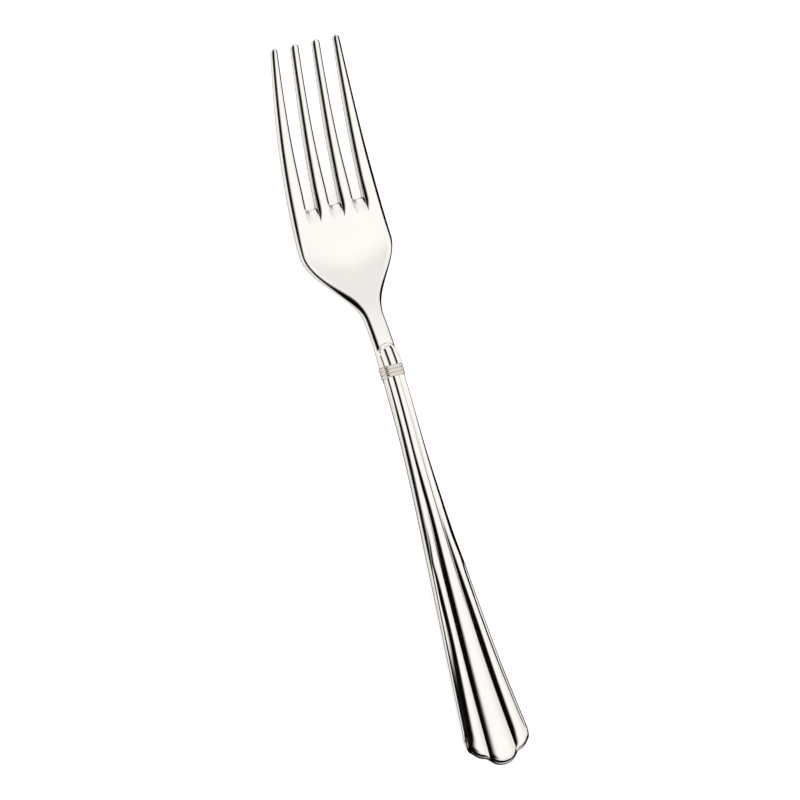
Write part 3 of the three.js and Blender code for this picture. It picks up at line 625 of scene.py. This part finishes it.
def add_shell(name, line, handle, outside, side, material):
    """One shell of the handle: its outside, its lining, and the seam faces between them."""
    lane, inset = np.meshgrid(handle_lanes(), handle_insets(handle))
    x, y, z = outside(line, handle, inset, lane)
    inner_x, inner_y, inner_z = shell_lining(line, handle, inset, x, y, z, side)
    seam = middle(line, x) + side * handle.seam / 2
    at_seam = np.abs(lane) == SEAM_LANE
    at_seam[0] = True
    outer = np.stack([x, y, np.where(at_seam, seam, z)], -1)
    inner = np.stack([inner_x, inner_y, np.where(at_seam, seam, inner_z)], -1)
    keep = np.ones((lane.shape[0] - 1, lane.shape[1] - 1), bool)
    front, back = (outer, inner) if side > 0 else (inner, outer)
    add_sheet(name, name.removesuffix("_polished"), front, back, keep, material)


# Head. Columns follow the edges of the tines: spans 0, 2, 4 and 6 are tines, 1, 3 and 5 are slots.
SPANS = 7
# Counts of columns round a tine's edge, over its flat and over a slot
ROUND_STEPS, FLAT_STEPS, SLOT_STEPS = 8, 6, 17
# Angle in degrees up to which the columns of a slot are laid out by sines
SLOT_TURN = 84
# Counts of stations along the ornament, neck, shoulder, palm, run-out, tines, points and tang
ARCH_STEPS, NECK_STEPS, SHOULDER_STEPS, PALM_STEPS = 92, 14, 40, 16
RUN_OUT_STEPS, TINE_STEPS, POINT_STEPS, TANG_STEPS = 30, 62, 12, 24
# Power that crowds the stations of the run-out towards the root
RUN_OUT_CROWDING = 1.5
# Largest share of half the width that the rounding of the rim takes
RIM_SHARE = 0.8
# Powers of the ornament's groove, of the dish along the palm and of the bow of a slot's root
GROOVE_POWER, DISH_POWER, ROOT_POWER = 1.6, 3, 6
# Distance behind the roots from which the tines' inner back edges are rounded
BACK_START = 0.5 * MM
# Share and power by which the tang thins to its edges
TANG_THINNING, TANG_POWER = 0.6, 6


def head_columns():
    """Columns of the head in four arrays: span, share across the span, inset in rounding radii (signed
    inwards), and place in a slot from -1 to 1."""
    arc = 1 - np.cos(np.linspace(0, np.pi / 2, ROUND_STEPS))
    inside = np.linspace(0, 1, FLAT_STEPS)[1:-1]
    left = [(0, d, 0) for d in arc]
    flat = [(s, 1 - 2 * s, 0) for s in inside]
    right = [(1, -d, 0) for d in arc[::-1]]
    tine = np.array(left + flat + right)
    across = np.sin(np.radians(np.linspace(-SLOT_TURN, SLOT_TURN, SLOT_STEPS)))
    slot = np.array([((q + 1) / 2, 0, q) for q in across])
    columns = [np.insert(tine if span % 2 == 0 else slot, 0, span, axis=1) for span in range(SPANS)]
    return np.concatenate(columns).T


def head_rows(at, head):
    """Stations from the neck to the tips: close together at the ornament, the run-outs and the points."""
    arch = np.linspace(NECK_X, at.arch + 2 * head.arch_step, ARCH_STEPS)
    neck = np.linspace(arch[-1], at.shoulder, NECK_STEPS)[1:]
    shoulder = np.linspace(at.shoulder, at.widest, SHOULDER_STEPS)[1:]
    palm = np.linspace(at.widest, at.root - head.run_out, PALM_STEPS)[1:]
    ramp = at.root - head.run_out * np.linspace(1, 0, RUN_OUT_STEPS)[1:] ** RUN_OUT_CROWDING
    tines = np.linspace(at.root, TIP_X - head.point, TINE_STEPS)[1:]
    points = TIP_X - head.point * np.cos(np.linspace(0, np.pi / 2, POINT_STEPS)[1:])
    return np.concatenate([arch, neck, shoulder, palm, ramp, tines, points])


def head_half(at, head, x):
    """Half the width: eased from neck to widest place, then drawn in by a power to the tips."""
    widening = mix(head.neck_width, head.width, smoothstep(x, at.shoulder, at.widest))
    along = np.clip((x - at.widest) / (TIP_X - at.widest), 0, 1)
    return np.where(x < at.widest, widening, mix(head.width, head.tip_span, along ** head.sweep)) / 2


def head_rounding(at, head, x):
    """Width and depth of the rounding of the front edges of neck, rim and tines. A tine is rounded over
    a share of its width, but no more than the rim is."""
    edges = span_edges(at, head, np.maximum(x, at.root))
    tine = np.minimum(head.tine_crown * (edges[..., 5] - edges[..., 4]), head.rim_round)
    width = eased(x, [(at.shoulder, head.neck_round), (at.fullest, head.shoulder_round),
                      (at.widest, head.rim_round)])
    depth = eased(x, [(at.shoulder, head.neck_fall), (at.fullest, head.shoulder_fall),
                      (at.widest, head.rim_fall), (at.root, head.tine_fall)])
    return np.where(x > at.root, tine, width), depth


def span_edges(at, head, x):
    """Edges of the tines across the fork, one to the left and right of each slot, as rows of eight."""
    along = np.clip((x - at.root) / at.tines, 0, 1)
    slot = spline(along, [(0, head.slot_root), (0.5, head.slot_middle), (1, head.slot_tip)]) / 2
    pitch = mix(head.root_pitch, head.tip_pitch, along)
    right = np.stack([slot, pitch - slot, pitch + slot, head_half(at, head, x)], -1)
    return np.concatenate([-right[..., ::-1], right], -1)


def pointing(head, x):
    """Share of a tine's size that is left towards its point: a quarter ellipse down to its bluntness."""
    along = np.clip((x - TIP_X + head.point) / head.point, 0, 1)
    return np.maximum(np.sqrt(1 - along ** 2), head.blunt)


def head_offset(at, head, x, span, across, inset):
    """Distance of a column from the middle. On the tines it follows its tine's edges; behind the roots the
    columns close in towards the neck in proportion, apart from the outer rounding."""
    pick = span.astype(int)
    edges = span_edges(at, head, np.maximum(x, at.root))
    low, high = edges[:, pick], edges[:, pick + 1]
    radius = head_rounding(at, head, x)[0][:, None]
    centre = (low + high) / 2
    tine = centre + (mix(low, high, across) + inset * radius - centre) * pointing(head, x)[:, None]
    half = head_half(at, head, x)[:, None]
    slant = np.gradient(half[:, 0], x)[:, None]
    rim = np.minimum(radius * np.sqrt(1 + slant ** 2), RIM_SHARE * half)
    root_half = head_half(at, head, np.array(at.root))
    root_radius = head_rounding(at, head, np.array(at.root))[0]
    place = (mix(low, high, across) + inset * root_radius) / (root_half - root_radius)
    outer = (np.abs(mix(pick, pick + 1, across) - SPANS / 2) == SPANS / 2)[None, :]
    side = np.where(pick == 0, -1, 1)[None, :]
    behind = np.where(outer, side * (half - np.abs(inset) * rim), place * (half - rim))
    return np.where(x[:, None] > at.root, tine, behind), outer


def arch_height(at, head, x, y):
    """Ornament on the neck, as where it is and its height: a raised arch with a step at its round edge, and
    a groove round the tongue in it. The groove follows two straight lines joined by a half circle, and
    deepens by a power towards its middle."""
    half = head.neck_width / 2
    top = at.arch - half
    outward = np.hypot(np.maximum(x - top, 0), y)
    raised = np.where(x > top, 1 - smoothstep(outward, half - head.arch_step, half), 1.0)
    tongue = at.arch - head.arch_rim - head.groove
    away = np.abs(np.where(x > tongue, np.hypot(x - tongue, y), np.abs(y)) - head.groove)
    groove = np.clip(1 - away / head.groove_width, 0, 1) ** GROOVE_POWER
    return raised, (head.arch_rise - head.groove_depth * groove) * raised


def head_sheets(line, head):
    """Front and back grids of the head, which cells are steel and not slot, and the places across the neck.
    The front lies half a thickness over the middle, less the rounding, the dish and the run-outs, and carries
    the ornament. The back lies half a thickness under it, with its own rounding, the neck's swell and the
    belly. Dish and belly are a power of a sine along the palm and a parabola across it."""
    at = Stations(line)
    span, across, inset, slot = head_columns()
    x = head_rows(at, head)
    in_slot = (span % 2 == 1)[None, :]
    flat = in_slot | ((across > 0) & (across < 1))[None, :]
    y, outer = head_offset(at, head, x, span, across, inset)
    open_share = smoothstep(x, at.root - head.run_out, at.root)[:, None]
    behind_root = np.where(x > at.root, 0, open_share[:, 0])[:, None]
    bowed = head.root_bow * (1 - slot ** ROOT_POWER)[None, :] * in_slot * behind_root
    along = np.broadcast_to(x[:, None], y.shape) - bowed
    half = head_half(at, head, along)
    bow = 1 - np.clip(y / half, -1, 1) ** 2
    hollow = np.sin(np.clip((along - at.shoulder) / (at.root - at.shoulder), 0, 1) * np.pi) ** DISH_POWER
    neck = 1 - smoothstep(along, at.arch, at.bowl)
    thick = edge(line, along) / 2
    shrink = pointing(head, x)[:, None]
    width, depth = [size[:, None] for size in head_rounding(at, head, x)]
    raised, ornament = arch_height(at, head, along, y)
    deeper = eased(x, [(at.root, head.root_depth), (at.root + head.run_out, 1)])[:, None]
    is_edge = np.where(outer, 1.0, open_share * deeper)
    fullness = eased(x, [(at.shoulder, 1), (at.fullest, head.shoulder_fullness), (at.widest, 1)])[:, None]
    arc_fall = quarter_round(np.abs(inset) ** fullness, 1, depth)
    arc_fall = mix(arc_fall, quarter_round(half - np.abs(y), head.arch_round, head.arch_fall), raised)
    arc_fall = np.where(flat, 0, arc_fall) * is_edge
    back_fall = quarter_round(np.abs(inset) * width, head.back_round, head.back_round)
    back_fall = np.where(flat, 0, back_fall) * np.where(outer, 1.0, (x > at.root - BACK_START)[:, None])
    top = middle(line, along) + (thick - arc_fall) * shrink
    top = top + (head.front_swell * neck - head.dish * hollow) * bow + ornament
    swell = (line.neck_back_swell * neck + head.belly * hollow) * bow
    bottom = np.maximum(0, middle(line, along) - (thick - back_fall) * shrink - swell)
    ramp = depth * deeper * open_share * mix(head.run_out_floor, 1, slot ** 2)
    ramp = ramp + quarter_round((at.root - x)[:, None], head.lip, head.lip)
    top = np.where(in_slot, top - ramp, top)
    front = np.stack([along, y, top], -1)
    back = np.stack([along, y, bottom], -1)
    beyond = (x[:-1] > at.root - SAME_PLACE)[:, None]
    slot_cell = (in_slot[0, :-1] | in_slot[0, 1:])[None, :]
    return front, back, ~(beyond & slot_cell), y[0] / half[0]


def tang_sheets(line, head, across):
    """Front and back grids of the tang: width and thickness taper from the collar to its tip, and the
    thickness falls by a power to its edges."""
    x = np.concatenate([np.linspace(TANG_X, MOUTH_X, TANG_STEPS), [NECK_X]])
    along = np.clip((MOUTH_X - x) / (MOUTH_X - TANG_X), 0, 1)[:, None]
    half = mix(head.tang_mouth_half, head.tang_tip_half, along)
    crown = 1 - TANG_THINNING * across ** TANG_POWER
    front = mix(head.tang_front, head.tang_tip_thick, along) * crown
    back = mix(head.tang_back, head.tang_tip_thick, along) * crown
    y = across * half
    place = np.broadcast_to(x[:, None], y.shape)
    height = middle(line, place)
    return np.stack([place, y, height + front], -1), np.stack([place, y, height - back], -1)


def add_head(line, head, material):
    """Tang, neck, bowl and tines as one closed piece."""
    front, back, keep, across = head_sheets(line, head)
    tang_front, tang_back = tang_sheets(line, head, across)
    front = np.concatenate([tang_front, front])
    back = np.concatenate([tang_back, back])
    keep = np.concatenate([np.ones((len(tang_front), keep.shape[1]), bool), keep])
    add_sheet("fork_head_polished", "fork_head", front, back, keep, material)


# Counts of columns round the collar and of rows along a bead, and power of a bead's sine
COLLAR_STEPS, BEAD_STEPS, BEAD_POWER = 96, 14, 0.8


def squircle(wave):
    """Side of a squircle from a sine or cosine: the square root of its size, with its sign."""
    return np.sign(wave) * np.sqrt(np.abs(wave))


def add_collar(line, collar, material):
    """Beaded ring: a squircle section, swollen by powers of the beads' sines along it, round a bore."""
    turns = np.linspace(0, 2 * np.pi, COLLAR_STEPS + 1)[:-1]
    bead = np.linspace(0, collar.beads, collar.beads * BEAD_STEPS + 1)
    rise = collar.bead_rise * np.abs(np.sin(bead * np.pi)) ** BEAD_POWER
    x = np.concatenate([[MOUTH_X], mix(MOUTH_X, NECK_X, bead / collar.beads), [NECK_X]])
    half = np.concatenate([[collar.bore_half], collar.half + rise, [collar.bore_half]])
    bore = np.where(np.sin(turns) > 0, collar.bore_front, collar.bore_back)[:, None]
    outside = np.broadcast_to(collar.thick + rise, (len(turns), len(rise)))
    thick = np.concatenate([bore, outside, bore], axis=1)
    y = half * squircle(np.cos(turns))[:, None]
    z = middle(line, x) + thick * squircle(np.sin(turns))[:, None]
    points = np.stack([np.broadcast_to(x, y.shape), y, z], -1).reshape(-1, 3)
    grid = np.arange(y.size).reshape(y.shape)
    ahead = np.roll(grid, -1, 0)
    faces = np.stack([grid, ahead, np.roll(ahead, -1, 1), np.roll(grid, -1, 1)], -1).reshape(-1, 4)
    add_piece("collar_polished", "collar", points, faces, material)


# Range in which a noise mostly lies, and depths of the buffing lines and of the cement's grain
NOISE_LOW, NOISE_HIGH = 0.3, 0.7
BUFF_DEPTH = 0.01 * MM
GRAIN_DEPTH = 0.2 * MM


def add_node(tree, kind, settings=(), inputs=()):
    """Adds a node, sets its fields, and fills or links its inputs."""
    node = tree.nodes.new(kind)
    for field, value in dict(settings).items():
        setattr(node, field, value)
    for socket, value in dict(inputs).items():
        if isinstance(value, bpy.types.NodeSocket):
            tree.links.new(value, node.inputs[socket])
        else:
            node.inputs[socket].default_value = value
    return node


def new_material(name):
    """Material with an empty node tree and its output node."""
    material = bpy.data.materials.new(name)
    material.use_nodes = True
    material.node_tree.nodes.clear()
    return material, material.node_tree, add_node(material.node_tree, "ShaderNodeOutputMaterial")


def per_metre(size):
    """Noise scale that gives features of a size in metres."""
    return 1 / size


def polished_stainless_steel(finish):
    """Stainless steel, stamped and buffed to a mirror: a warm pale metal that shows the studio sharply,
    with a breath of haze in patches and faint buffing lines along the fork."""
    material, tree, output = new_material("polished_stainless_steel")
    place = add_node(tree, "ShaderNodeTexCoord").outputs["Object"]
    patches = add_node(tree, "ShaderNodeTexNoise", {}, {
        "Vector": place, "Scale": per_metre(finish.haze_size), "Detail": 3.0, "Roughness": 0.55})
    stretch = add_node(tree, "ShaderNodeMapping", {}, {
        "Vector": place, "Scale": (finish.buff_spacing / finish.buff_length, 1.0, 1.0)})
    lines = add_node(tree, "ShaderNodeTexNoise", {}, {
        "Vector": stretch.outputs["Vector"], "Scale": per_metre(finish.buff_spacing), "Detail": 2.0})
    colour = add_node(tree, "ShaderNodeMix", {"data_type": "RGBA"}, {
        "Factor": patches.outputs["Fac"], "A": linear(finish.bright), "B": linear(finish.shaded)})
    polish = add_node(tree, "ShaderNodeMapRange", {}, {
        "Value": patches.outputs["Fac"], "From Min": NOISE_LOW, "From Max": NOISE_HIGH,
        "To Min": finish.mirror, "To Max": finish.haze})
    bump = add_node(tree, "ShaderNodeBump", {}, {
        "Strength": 0.05, "Distance": BUFF_DEPTH, "Height": lines.outputs["Fac"]})
    shader = add_node(tree, "ShaderNodeBsdfPrincipled", {}, {
        "Base Color": colour.outputs["Result"], "Metallic": 1.0,
        "Roughness": polish.outputs["Result"], "Normal": bump.outputs["Normal"]})
    tree.links.new(shader.outputs["BSDF"], output.inputs["Surface"])
    return material


def satin_stainless_steel(finish):
    """Stainless steel, pressed and left satin: duller and a little darker than the buffed steel."""
    material, tree, output = new_material("satin_stainless_steel")
    place = add_node(tree, "ShaderNodeTexCoord").outputs["Object"]
    patches = add_node(tree, "ShaderNodeTexNoise", {}, {
        "Vector": place, "Scale": per_metre(finish.haze_size), "Detail": 3.0, "Roughness": 0.55})
    colour = add_node(tree, "ShaderNodeMix", {"data_type": "RGBA"}, {
        "Factor": patches.outputs["Fac"], "A": linear(finish.satin), "B": linear(finish.satin_dark)})
    shader = add_node(tree, "ShaderNodeBsdfPrincipled", {}, {
        "Base Color": colour.outputs["Result"], "Metallic": 1.0, "Roughness": finish.satin_polish})
    tree.links.new(shader.outputs["BSDF"], output.inputs["Surface"])
    return material


def cutlers_cement(finish):
    """Cutler's cement, poured hot and set: dull, grainy and grey-brown."""
    material, tree, output = new_material("cutlers_cement")
    place = add_node(tree, "ShaderNodeTexCoord").outputs["Object"]
    grain = add_node(tree, "ShaderNodeTexNoise", {}, {
        "Vector": place, "Scale": per_metre(finish.cement_grain), "Detail": 6.0, "Roughness": 0.7})
    colour = add_node(tree, "ShaderNodeMix", {"data_type": "RGBA"}, {
        "Factor": grain.outputs["Fac"], "A": linear(finish.cement), "B": linear(finish.cement_dark)})
    bump = add_node(tree, "ShaderNodeBump", {}, {
        "Strength": 0.6, "Distance": GRAIN_DEPTH, "Height": grain.outputs["Fac"]})
    shader = add_node(tree, "ShaderNodeBsdfPrincipled", {}, {
        "Base Color": colour.outputs["Result"], "Roughness": 0.9, "Normal": bump.outputs["Normal"]})
    tree.links.new(shader.outputs["BSDF"], output.inputs["Surface"])
    return material


def steel():
    """The steel, made once and shared by the pieces."""
    made = bpy.data.materials.get("polished_stainless_steel")
    return made or polished_stainless_steel(bpy.context.scene.fork_finish)


def white_floor(studio):
    """Matt white board: pale, lit by the studio, with a glow for what the camera and the steel see of it."""
    material, tree, output = new_material("white_board")
    seen = add_node(tree, "ShaderNodeLightPath")
    mirrored = add_node(tree, "ShaderNodeMath", {"operation": "MULTIPLY"}, {
        0: seen.outputs["Is Glossy Ray"], 1: studio.floor_sheen})
    direct = add_node(tree, "ShaderNodeMath", {"operation": "MAXIMUM"}, {
        0: seen.outputs["Is Camera Ray"], 1: seen.outputs["Is Transmission Ray"]})
    strength = add_node(tree, "ShaderNodeMath", {"operation": "MULTIPLY_ADD"}, {
        0: direct.outputs["Value"], 1: studio.floor_glow, 2: mirrored.outputs["Value"]})
    glow = add_node(tree, "ShaderNodeEmission", {}, {"Strength": strength.outputs["Value"]})
    matt = add_node(tree, "ShaderNodeBsdfDiffuse", {}, {"Color": linear(studio.floor_tone)})
    both = add_node(tree, "ShaderNodeAddShader", {}, {0: glow.outputs["Emission"], 1: matt.outputs["BSDF"]})
    tree.links.new(both.outputs["Shader"], output.inputs["Surface"])
    return material


def black_felt(studio):
    """Black felt: dark and matt, thinning to nothing where its weight does."""
    material, tree, output = new_material("black_felt")
    weight = add_node(tree, "ShaderNodeAttribute", {"attribute_name": "weight"})
    felt = add_node(tree, "ShaderNodeBsdfDiffuse", {}, {"Color": linear(studio.drape_tone)})
    clear = add_node(tree, "ShaderNodeBsdfTransparent")
    both = add_node(tree, "ShaderNodeMixShader", {}, {
        "Fac": weight.outputs["Fac"], 1: clear.outputs["BSDF"], 2: felt.outputs["BSDF"]})
    tree.links.new(both.outputs["Shader"], output.inputs["Surface"])
    return material


def black_card(studio):
    """Black card that is dark in front and clear from behind, so that it shows only in the edge beside it."""
    material, tree, output = new_material("black_card")
    behind = add_node(tree, "ShaderNodeNewGeometry").outputs["Backfacing"]
    card = add_node(tree, "ShaderNodeBsdfDiffuse", {}, {"Color": linear(studio.drape_tone)})
    clear = add_node(tree, "ShaderNodeBsdfTransparent")
    both = add_node(tree, "ShaderNodeMixShader", {}, {
        "Fac": behind, 1: card.outputs["BSDF"], 2: clear.outputs["BSDF"]})
    tree.links.new(both.outputs["Shader"], output.inputs["Surface"])
    return material


# Counts of rows and columns of the drape, of turns and rows of the skirt, and of points along the cards
DRAPE_STEPS = 61
SKIRT_TURNS, SKIRT_STEPS = 121, 13
EDGE_CARD_STEPS, TINE_CARD_STEPS, END_CARD_STEPS = 161, 41, 81
# Reach of the drape's grid along the fork to both sides, in degrees
DRAPE_REACH = 89
# Share of the skirt's height from which it thins out
SKIRT_FADE = 0.5
# Middle of the softbox in its own coordinates, and distance from there to its edge
SOFTBOX_MIDDLE = (0.5, 0.5, 0.0)
SOFTBOX_EDGE = 0.5


def add_stage_mesh(name, points, faces, material):
    """Mesh of the studio that isn't part of the fork."""
    mesh = bpy.data.meshes.new(name)
    mesh.from_pydata(points.tolist(), [], faces.tolist())
    mesh.materials.append(material)
    piece = bpy.data.objects.new(name, mesh)
    bpy.context.scene.collection.objects.link(piece)
    return piece


def add_felt(name, points, weight, material):
    """Sheet of felt from a grid of points and its weight, seen only in the steel."""
    grid = np.arange(weight.size).reshape(weight.shape)
    faces = np.stack([grid[:-1, :-1], grid[1:, :-1], grid[1:, 1:], grid[:-1, 1:]], -1).reshape(-1, 4)
    felt = add_stage_mesh(name, points.reshape(-1, 3), faces, material)
    weights = felt.data.attributes.new("weight", "FLOAT", "POINT")
    weights.data.foreach_set("value", weight.ravel())
    felt.visible_camera = False
    felt.visible_diffuse = False
    felt.visible_shadow = False


def add_felts(studio):
    """Drape and skirt. The drape is a slice of a dome on +Y, in angles along and across the fork, that thins
    out to its clear edge overhead, to its foot above the floor and to its two ends. The skirt is the foot of
    the dome, all round, and thins out upwards."""
    material = black_felt(studio)
    reach = np.radians(np.linspace(-DRAPE_REACH, DRAPE_REACH, DRAPE_STEPS))
    along, across = np.meshgrid(reach, np.linspace(studio.drape_edge, math.pi / 2, DRAPE_STEPS))
    slice_ = np.stack([np.sin(along), np.cos(along) * np.sin(across), np.cos(along) * np.cos(across)], -1)
    weight = smoothstep(across, studio.drape_edge, studio.drape_edge + studio.drape_feather)
    weight = weight * smoothstep(across, studio.drape_foot, studio.drape_foot - studio.drape_foot_feather)
    weight = weight * smoothstep(np.abs(along), studio.drape_end, studio.drape_end - studio.drape_end_feather)
    add_felt("felt_drape", slice_ * studio.drape_radius, weight, material)
    azimuth, rise = np.meshgrid(np.linspace(0, 2 * np.pi, SKIRT_TURNS), np.linspace(0, 1, SKIRT_STEPS))
    lengthwise = mix(studio.skirt_handle, studio.skirt_tines, (1 + np.cos(azimuth)) / 2)
    height = rise * mix(lengthwise, studio.skirt_far, np.maximum(-np.sin(azimuth), 0) ** 2)
    foot = np.stack([np.cos(height) * np.cos(azimuth), np.cos(height) * np.sin(azimuth), np.sin(height)], -1)
    add_felt("felt_skirt", foot * studio.drape_radius, 1 - smoothstep(rise, SKIRT_FADE, 1), material)


def add_card(name, first, second, material):
    """Card between two rows of points, each given as its places along, across and up."""
    rows = np.stack([np.stack(first, -1), np.stack(second, -1)])
    add_felt(name, rows + [END, 0, 0], np.ones(rows.shape[:2]), material)


def add_cards(studio, line, handle, head):
    """Black cards beside the edges, seen only in the steel, where they make dark lines in its edges. The
    standing ones follow the edges on -Y and the end at a gap, from below the front corner to above it, as a
    photographer outlines bright metal, and they also stand for the shade on the floor beside the fork. The
    lying ones follow the edges on +Y, just under the back corner. They are painted shade: black sheets that
    stand for the shaded floor under the fork."""
    at = Stations(line)
    material = black_card(studio)
    whole = np.linspace(0, TIP_X, EDGE_CARD_STEPS)
    tines = np.linspace(at.root, TIP_X, TINE_CARD_STEPS)
    outline = np.where(whole < MOUTH_X, handle_half(handle, whole), head_half(at, head, whole))
    edges = span_edges(at, head, tines)
    above = eased(whole, [
        (handle.end_fade, studio.card_low),
        (handle.wide_length, studio.card_high),
        (line.thick_length, studio.card_high),
        (studio.card_fade, studio.card_neck),
        (at.bowl, studio.card_neck),
        (at.widest, studio.card_high),
    ])
    lane = np.linspace(EDGE_LANE, -EDGE_LANE, END_CARD_STEPS)
    end_x, end_y = handle_plan(line, handle, np.full_like(lane, -studio.card_gap), lane)
    end_above = eased(-lane, [(-1, studio.card_high), (1, studio.card_neck)])
    # The standing cards outline the edges as a photographer's black cards do, and they also stand in for the
    # shade on the floor beside the fork, seen only in the steel.
    standing = [(whole, -outline - studio.card_gap, above), (end_x, end_y, end_above)]
    standing += [(tines, edges[:, k] - studio.slot_card_gap, studio.slot_card_high) for k in (2, 4, 6)]
    lying = [(whole, outline)] + [(tines, edges[:, k]) for k in (1, 3, 5)]
    for number, (x, y, high) in enumerate(standing):
        front = middle(line, x) + edge(line, x) / 2
        low = np.maximum(front - studio.card_depth, studio.card_lift)
        add_card(f"felt_card_{number}", (x, y, low), (x, y, front + high), material)
    # The lying cards are painted shade: black sheets under the back corners that stand for the shaded floor
    # beneath the fork, seen only in the steel.
    for number, (x, y) in enumerate(lying):
        under = np.maximum(middle(line, x) - edge(line, x) / 2 - studio.under_gap, studio.card_lift)
        outside = (x, y + studio.under_reach, under)
        inside = (x, y - studio.under_width, under)
        add_card(f"felt_painted_shade_under_{number}", outside, inside, material)


def add_camera(studio):
    """Camera on a line from its target, given by azimuth, elevation and roll."""
    camera = bpy.data.objects.new("camera", bpy.data.cameras.new("camera"))
    camera.data.lens = studio.lens
    camera.data.sensor_width = studio.sensor
    turn = (Matrix.Rotation(studio.azimuth + math.pi / 2, 3, "Z")
            @ Matrix.Rotation(math.pi / 2 - studio.elevation, 3, "X")
            @ Matrix.Rotation(studio.roll, 3, "Z"))
    camera.matrix_world = turn.to_4x4()
    camera.location = Vector(studio.target) + turn @ Vector((0, 0, studio.distance))
    bpy.context.scene.collection.objects.link(camera)
    bpy.context.scene.camera = camera


def add_softbox(studio):
    """Large softbox overhead, leaning away from the camera and towards the handle, fading to its edges."""
    lamp = bpy.data.lights.new("softbox", "AREA")
    lamp.size = studio.softbox_size
    lamp.energy = studio.softbox_power
    lamp.use_nodes = True
    tree = lamp.node_tree
    spot = add_node(tree, "ShaderNodeNewGeometry").outputs["Parametric"]
    away = add_node(tree, "ShaderNodeVectorMath", {"operation": "DISTANCE"}, {
        0: spot, 1: SOFTBOX_MIDDLE})
    fade = add_node(tree, "ShaderNodeMapRange", {"interpolation_type": "SMOOTHSTEP"}, {
        "Value": away.outputs["Value"], "From Min": SOFTBOX_EDGE, "From Max": 0.0})
    tree.links.new(fade.outputs["Result"], tree.nodes["Emission"].inputs["Strength"])
    softbox = bpy.data.objects.new("softbox", lamp)
    turn = Matrix.Rotation(-studio.softbox_lean, 3, "Y") @ Matrix.Rotation(studio.softbox_tilt, 3, "X")
    softbox.matrix_world = turn.to_4x4()
    softbox.location = turn @ Vector((0, 0, studio.softbox_distance))
    softbox.visible_camera = False
    bpy.context.scene.collection.objects.link(softbox)


class FORK_OT_stage(bpy.types.Operator):
    """Sets up the white floor, the black felts and cards, the softbox, the camera and the white world"""

    bl_idname = "fork.stage"
    bl_label = "Studio"

    def execute(self, context):
        studio = context.scene.fork_studio
        size = studio.floor_size
        corners = np.array([(-size, -size, 0), (size, -size, 0), (size, size, 0), (-size, size, 0)])
        add_stage_mesh("floor", corners, np.array([[0, 1, 2, 3]]), white_floor(studio))
        add_felts(studio)
        add_cards(studio, context.scene.fork_line, context.scene.fork_handle, context.scene.fork_head)
        add_softbox(studio)
        add_camera(studio)
        world = bpy.data.worlds.new("white_studio")
        world.use_nodes = True
        background = world.node_tree.nodes["Background"]
        background.inputs["Color"].default_value = (1, 1, 1, 1)
        background.inputs["Strength"].default_value = 1.0
        context.scene.world = world
        context.scene.view_settings.view_transform = "Standard"
        return {"FINISHED"}


class FORK_OT_head(bpy.types.Operator):
    """Builds the head: tang, neck with its ornament, bowl and tines"""

    bl_idname = "fork.head"
    bl_label = "Head"

    def execute(self, context):
        add_head(context.scene.fork_line, context.scene.fork_head, steel())
        return {"FINISHED"}


class FORK_OT_collar(bpy.types.Operator):
    """Builds the beaded collar"""

    bl_idname = "fork.collar"
    bl_label = "Collar"

    def execute(self, context):
        satin = satin_stainless_steel(context.scene.fork_finish)
        add_collar(context.scene.fork_line, context.scene.fork_collar, satin)
        return {"FINISHED"}


class FORK_OT_handle(bpy.types.Operator):
    """Builds the two shells of the handle and gives the cement inside its finish"""

    bl_idname = "fork.handle"
    bl_label = "Handle"

    def execute(self, context):
        line, handle = context.scene.fork_line, context.scene.fork_handle
        add_shell("handle_front_shell_polished", line, handle, shell_front, 1, steel())
        add_shell("handle_back_shell_polished", line, handle, shell_back, -1, steel())
        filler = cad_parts["handle_filler"]
        filler.data.materials.clear()
        filler.data.materials.append(cutlers_cement(context.scene.fork_finish))
        return {"FINISHED"}


class FORK_PT_panel(bpy.types.Panel):
    """Lists the pieces of the fork and their sizes"""

    bl_label = "Serving fork"
    bl_idname = "FORK_PT_panel"
    bl_space_type = "VIEW_3D"
    bl_region_type = "UI"
    bl_category = "Fork"

    def draw(self, context):
        for operator in OPERATORS:
            self.layout.operator(operator.bl_idname)
        for field in GROUPS:
            group = getattr(context.scene, field)
            box = self.layout.box()
            for name in group.__annotations__:
                box.prop(group, name)


OPERATORS = (FORK_OT_stage, FORK_OT_head, FORK_OT_collar, FORK_OT_handle)
GROUPS = {
    "fork_line": ForkLine,
    "fork_handle": HandleSizes,
    "fork_head": HeadSizes,
    "fork_collar": CollarSizes,
    "fork_finish": SteelFinish,
    "fork_studio": StudioSettings,
}
CLASSES = (*GROUPS.values(), *OPERATORS, FORK_PT_panel)


def register():
    """Registers the classes and hangs the property groups on the scene."""
    for kind in CLASSES:
        bpy.utils.register_class(kind)
    for field, group in GROUPS.items():
        setattr(bpy.types.Scene, field, PointerProperty(type=group))


def unregister():
    """Takes the property groups and the classes away again."""
    for field in GROUPS:
        delattr(bpy.types.Scene, field)
    for kind in reversed(CLASSES):
        bpy.utils.unregister_class(kind)


def main():
    """Builds the studio and the pieces in order."""
    register()
    bpy.ops.fork.stage()
    bpy.ops.fork.head()
    bpy.ops.fork.collar()
    bpy.ops.fork.handle()


if __name__ == "__main__":
    main()
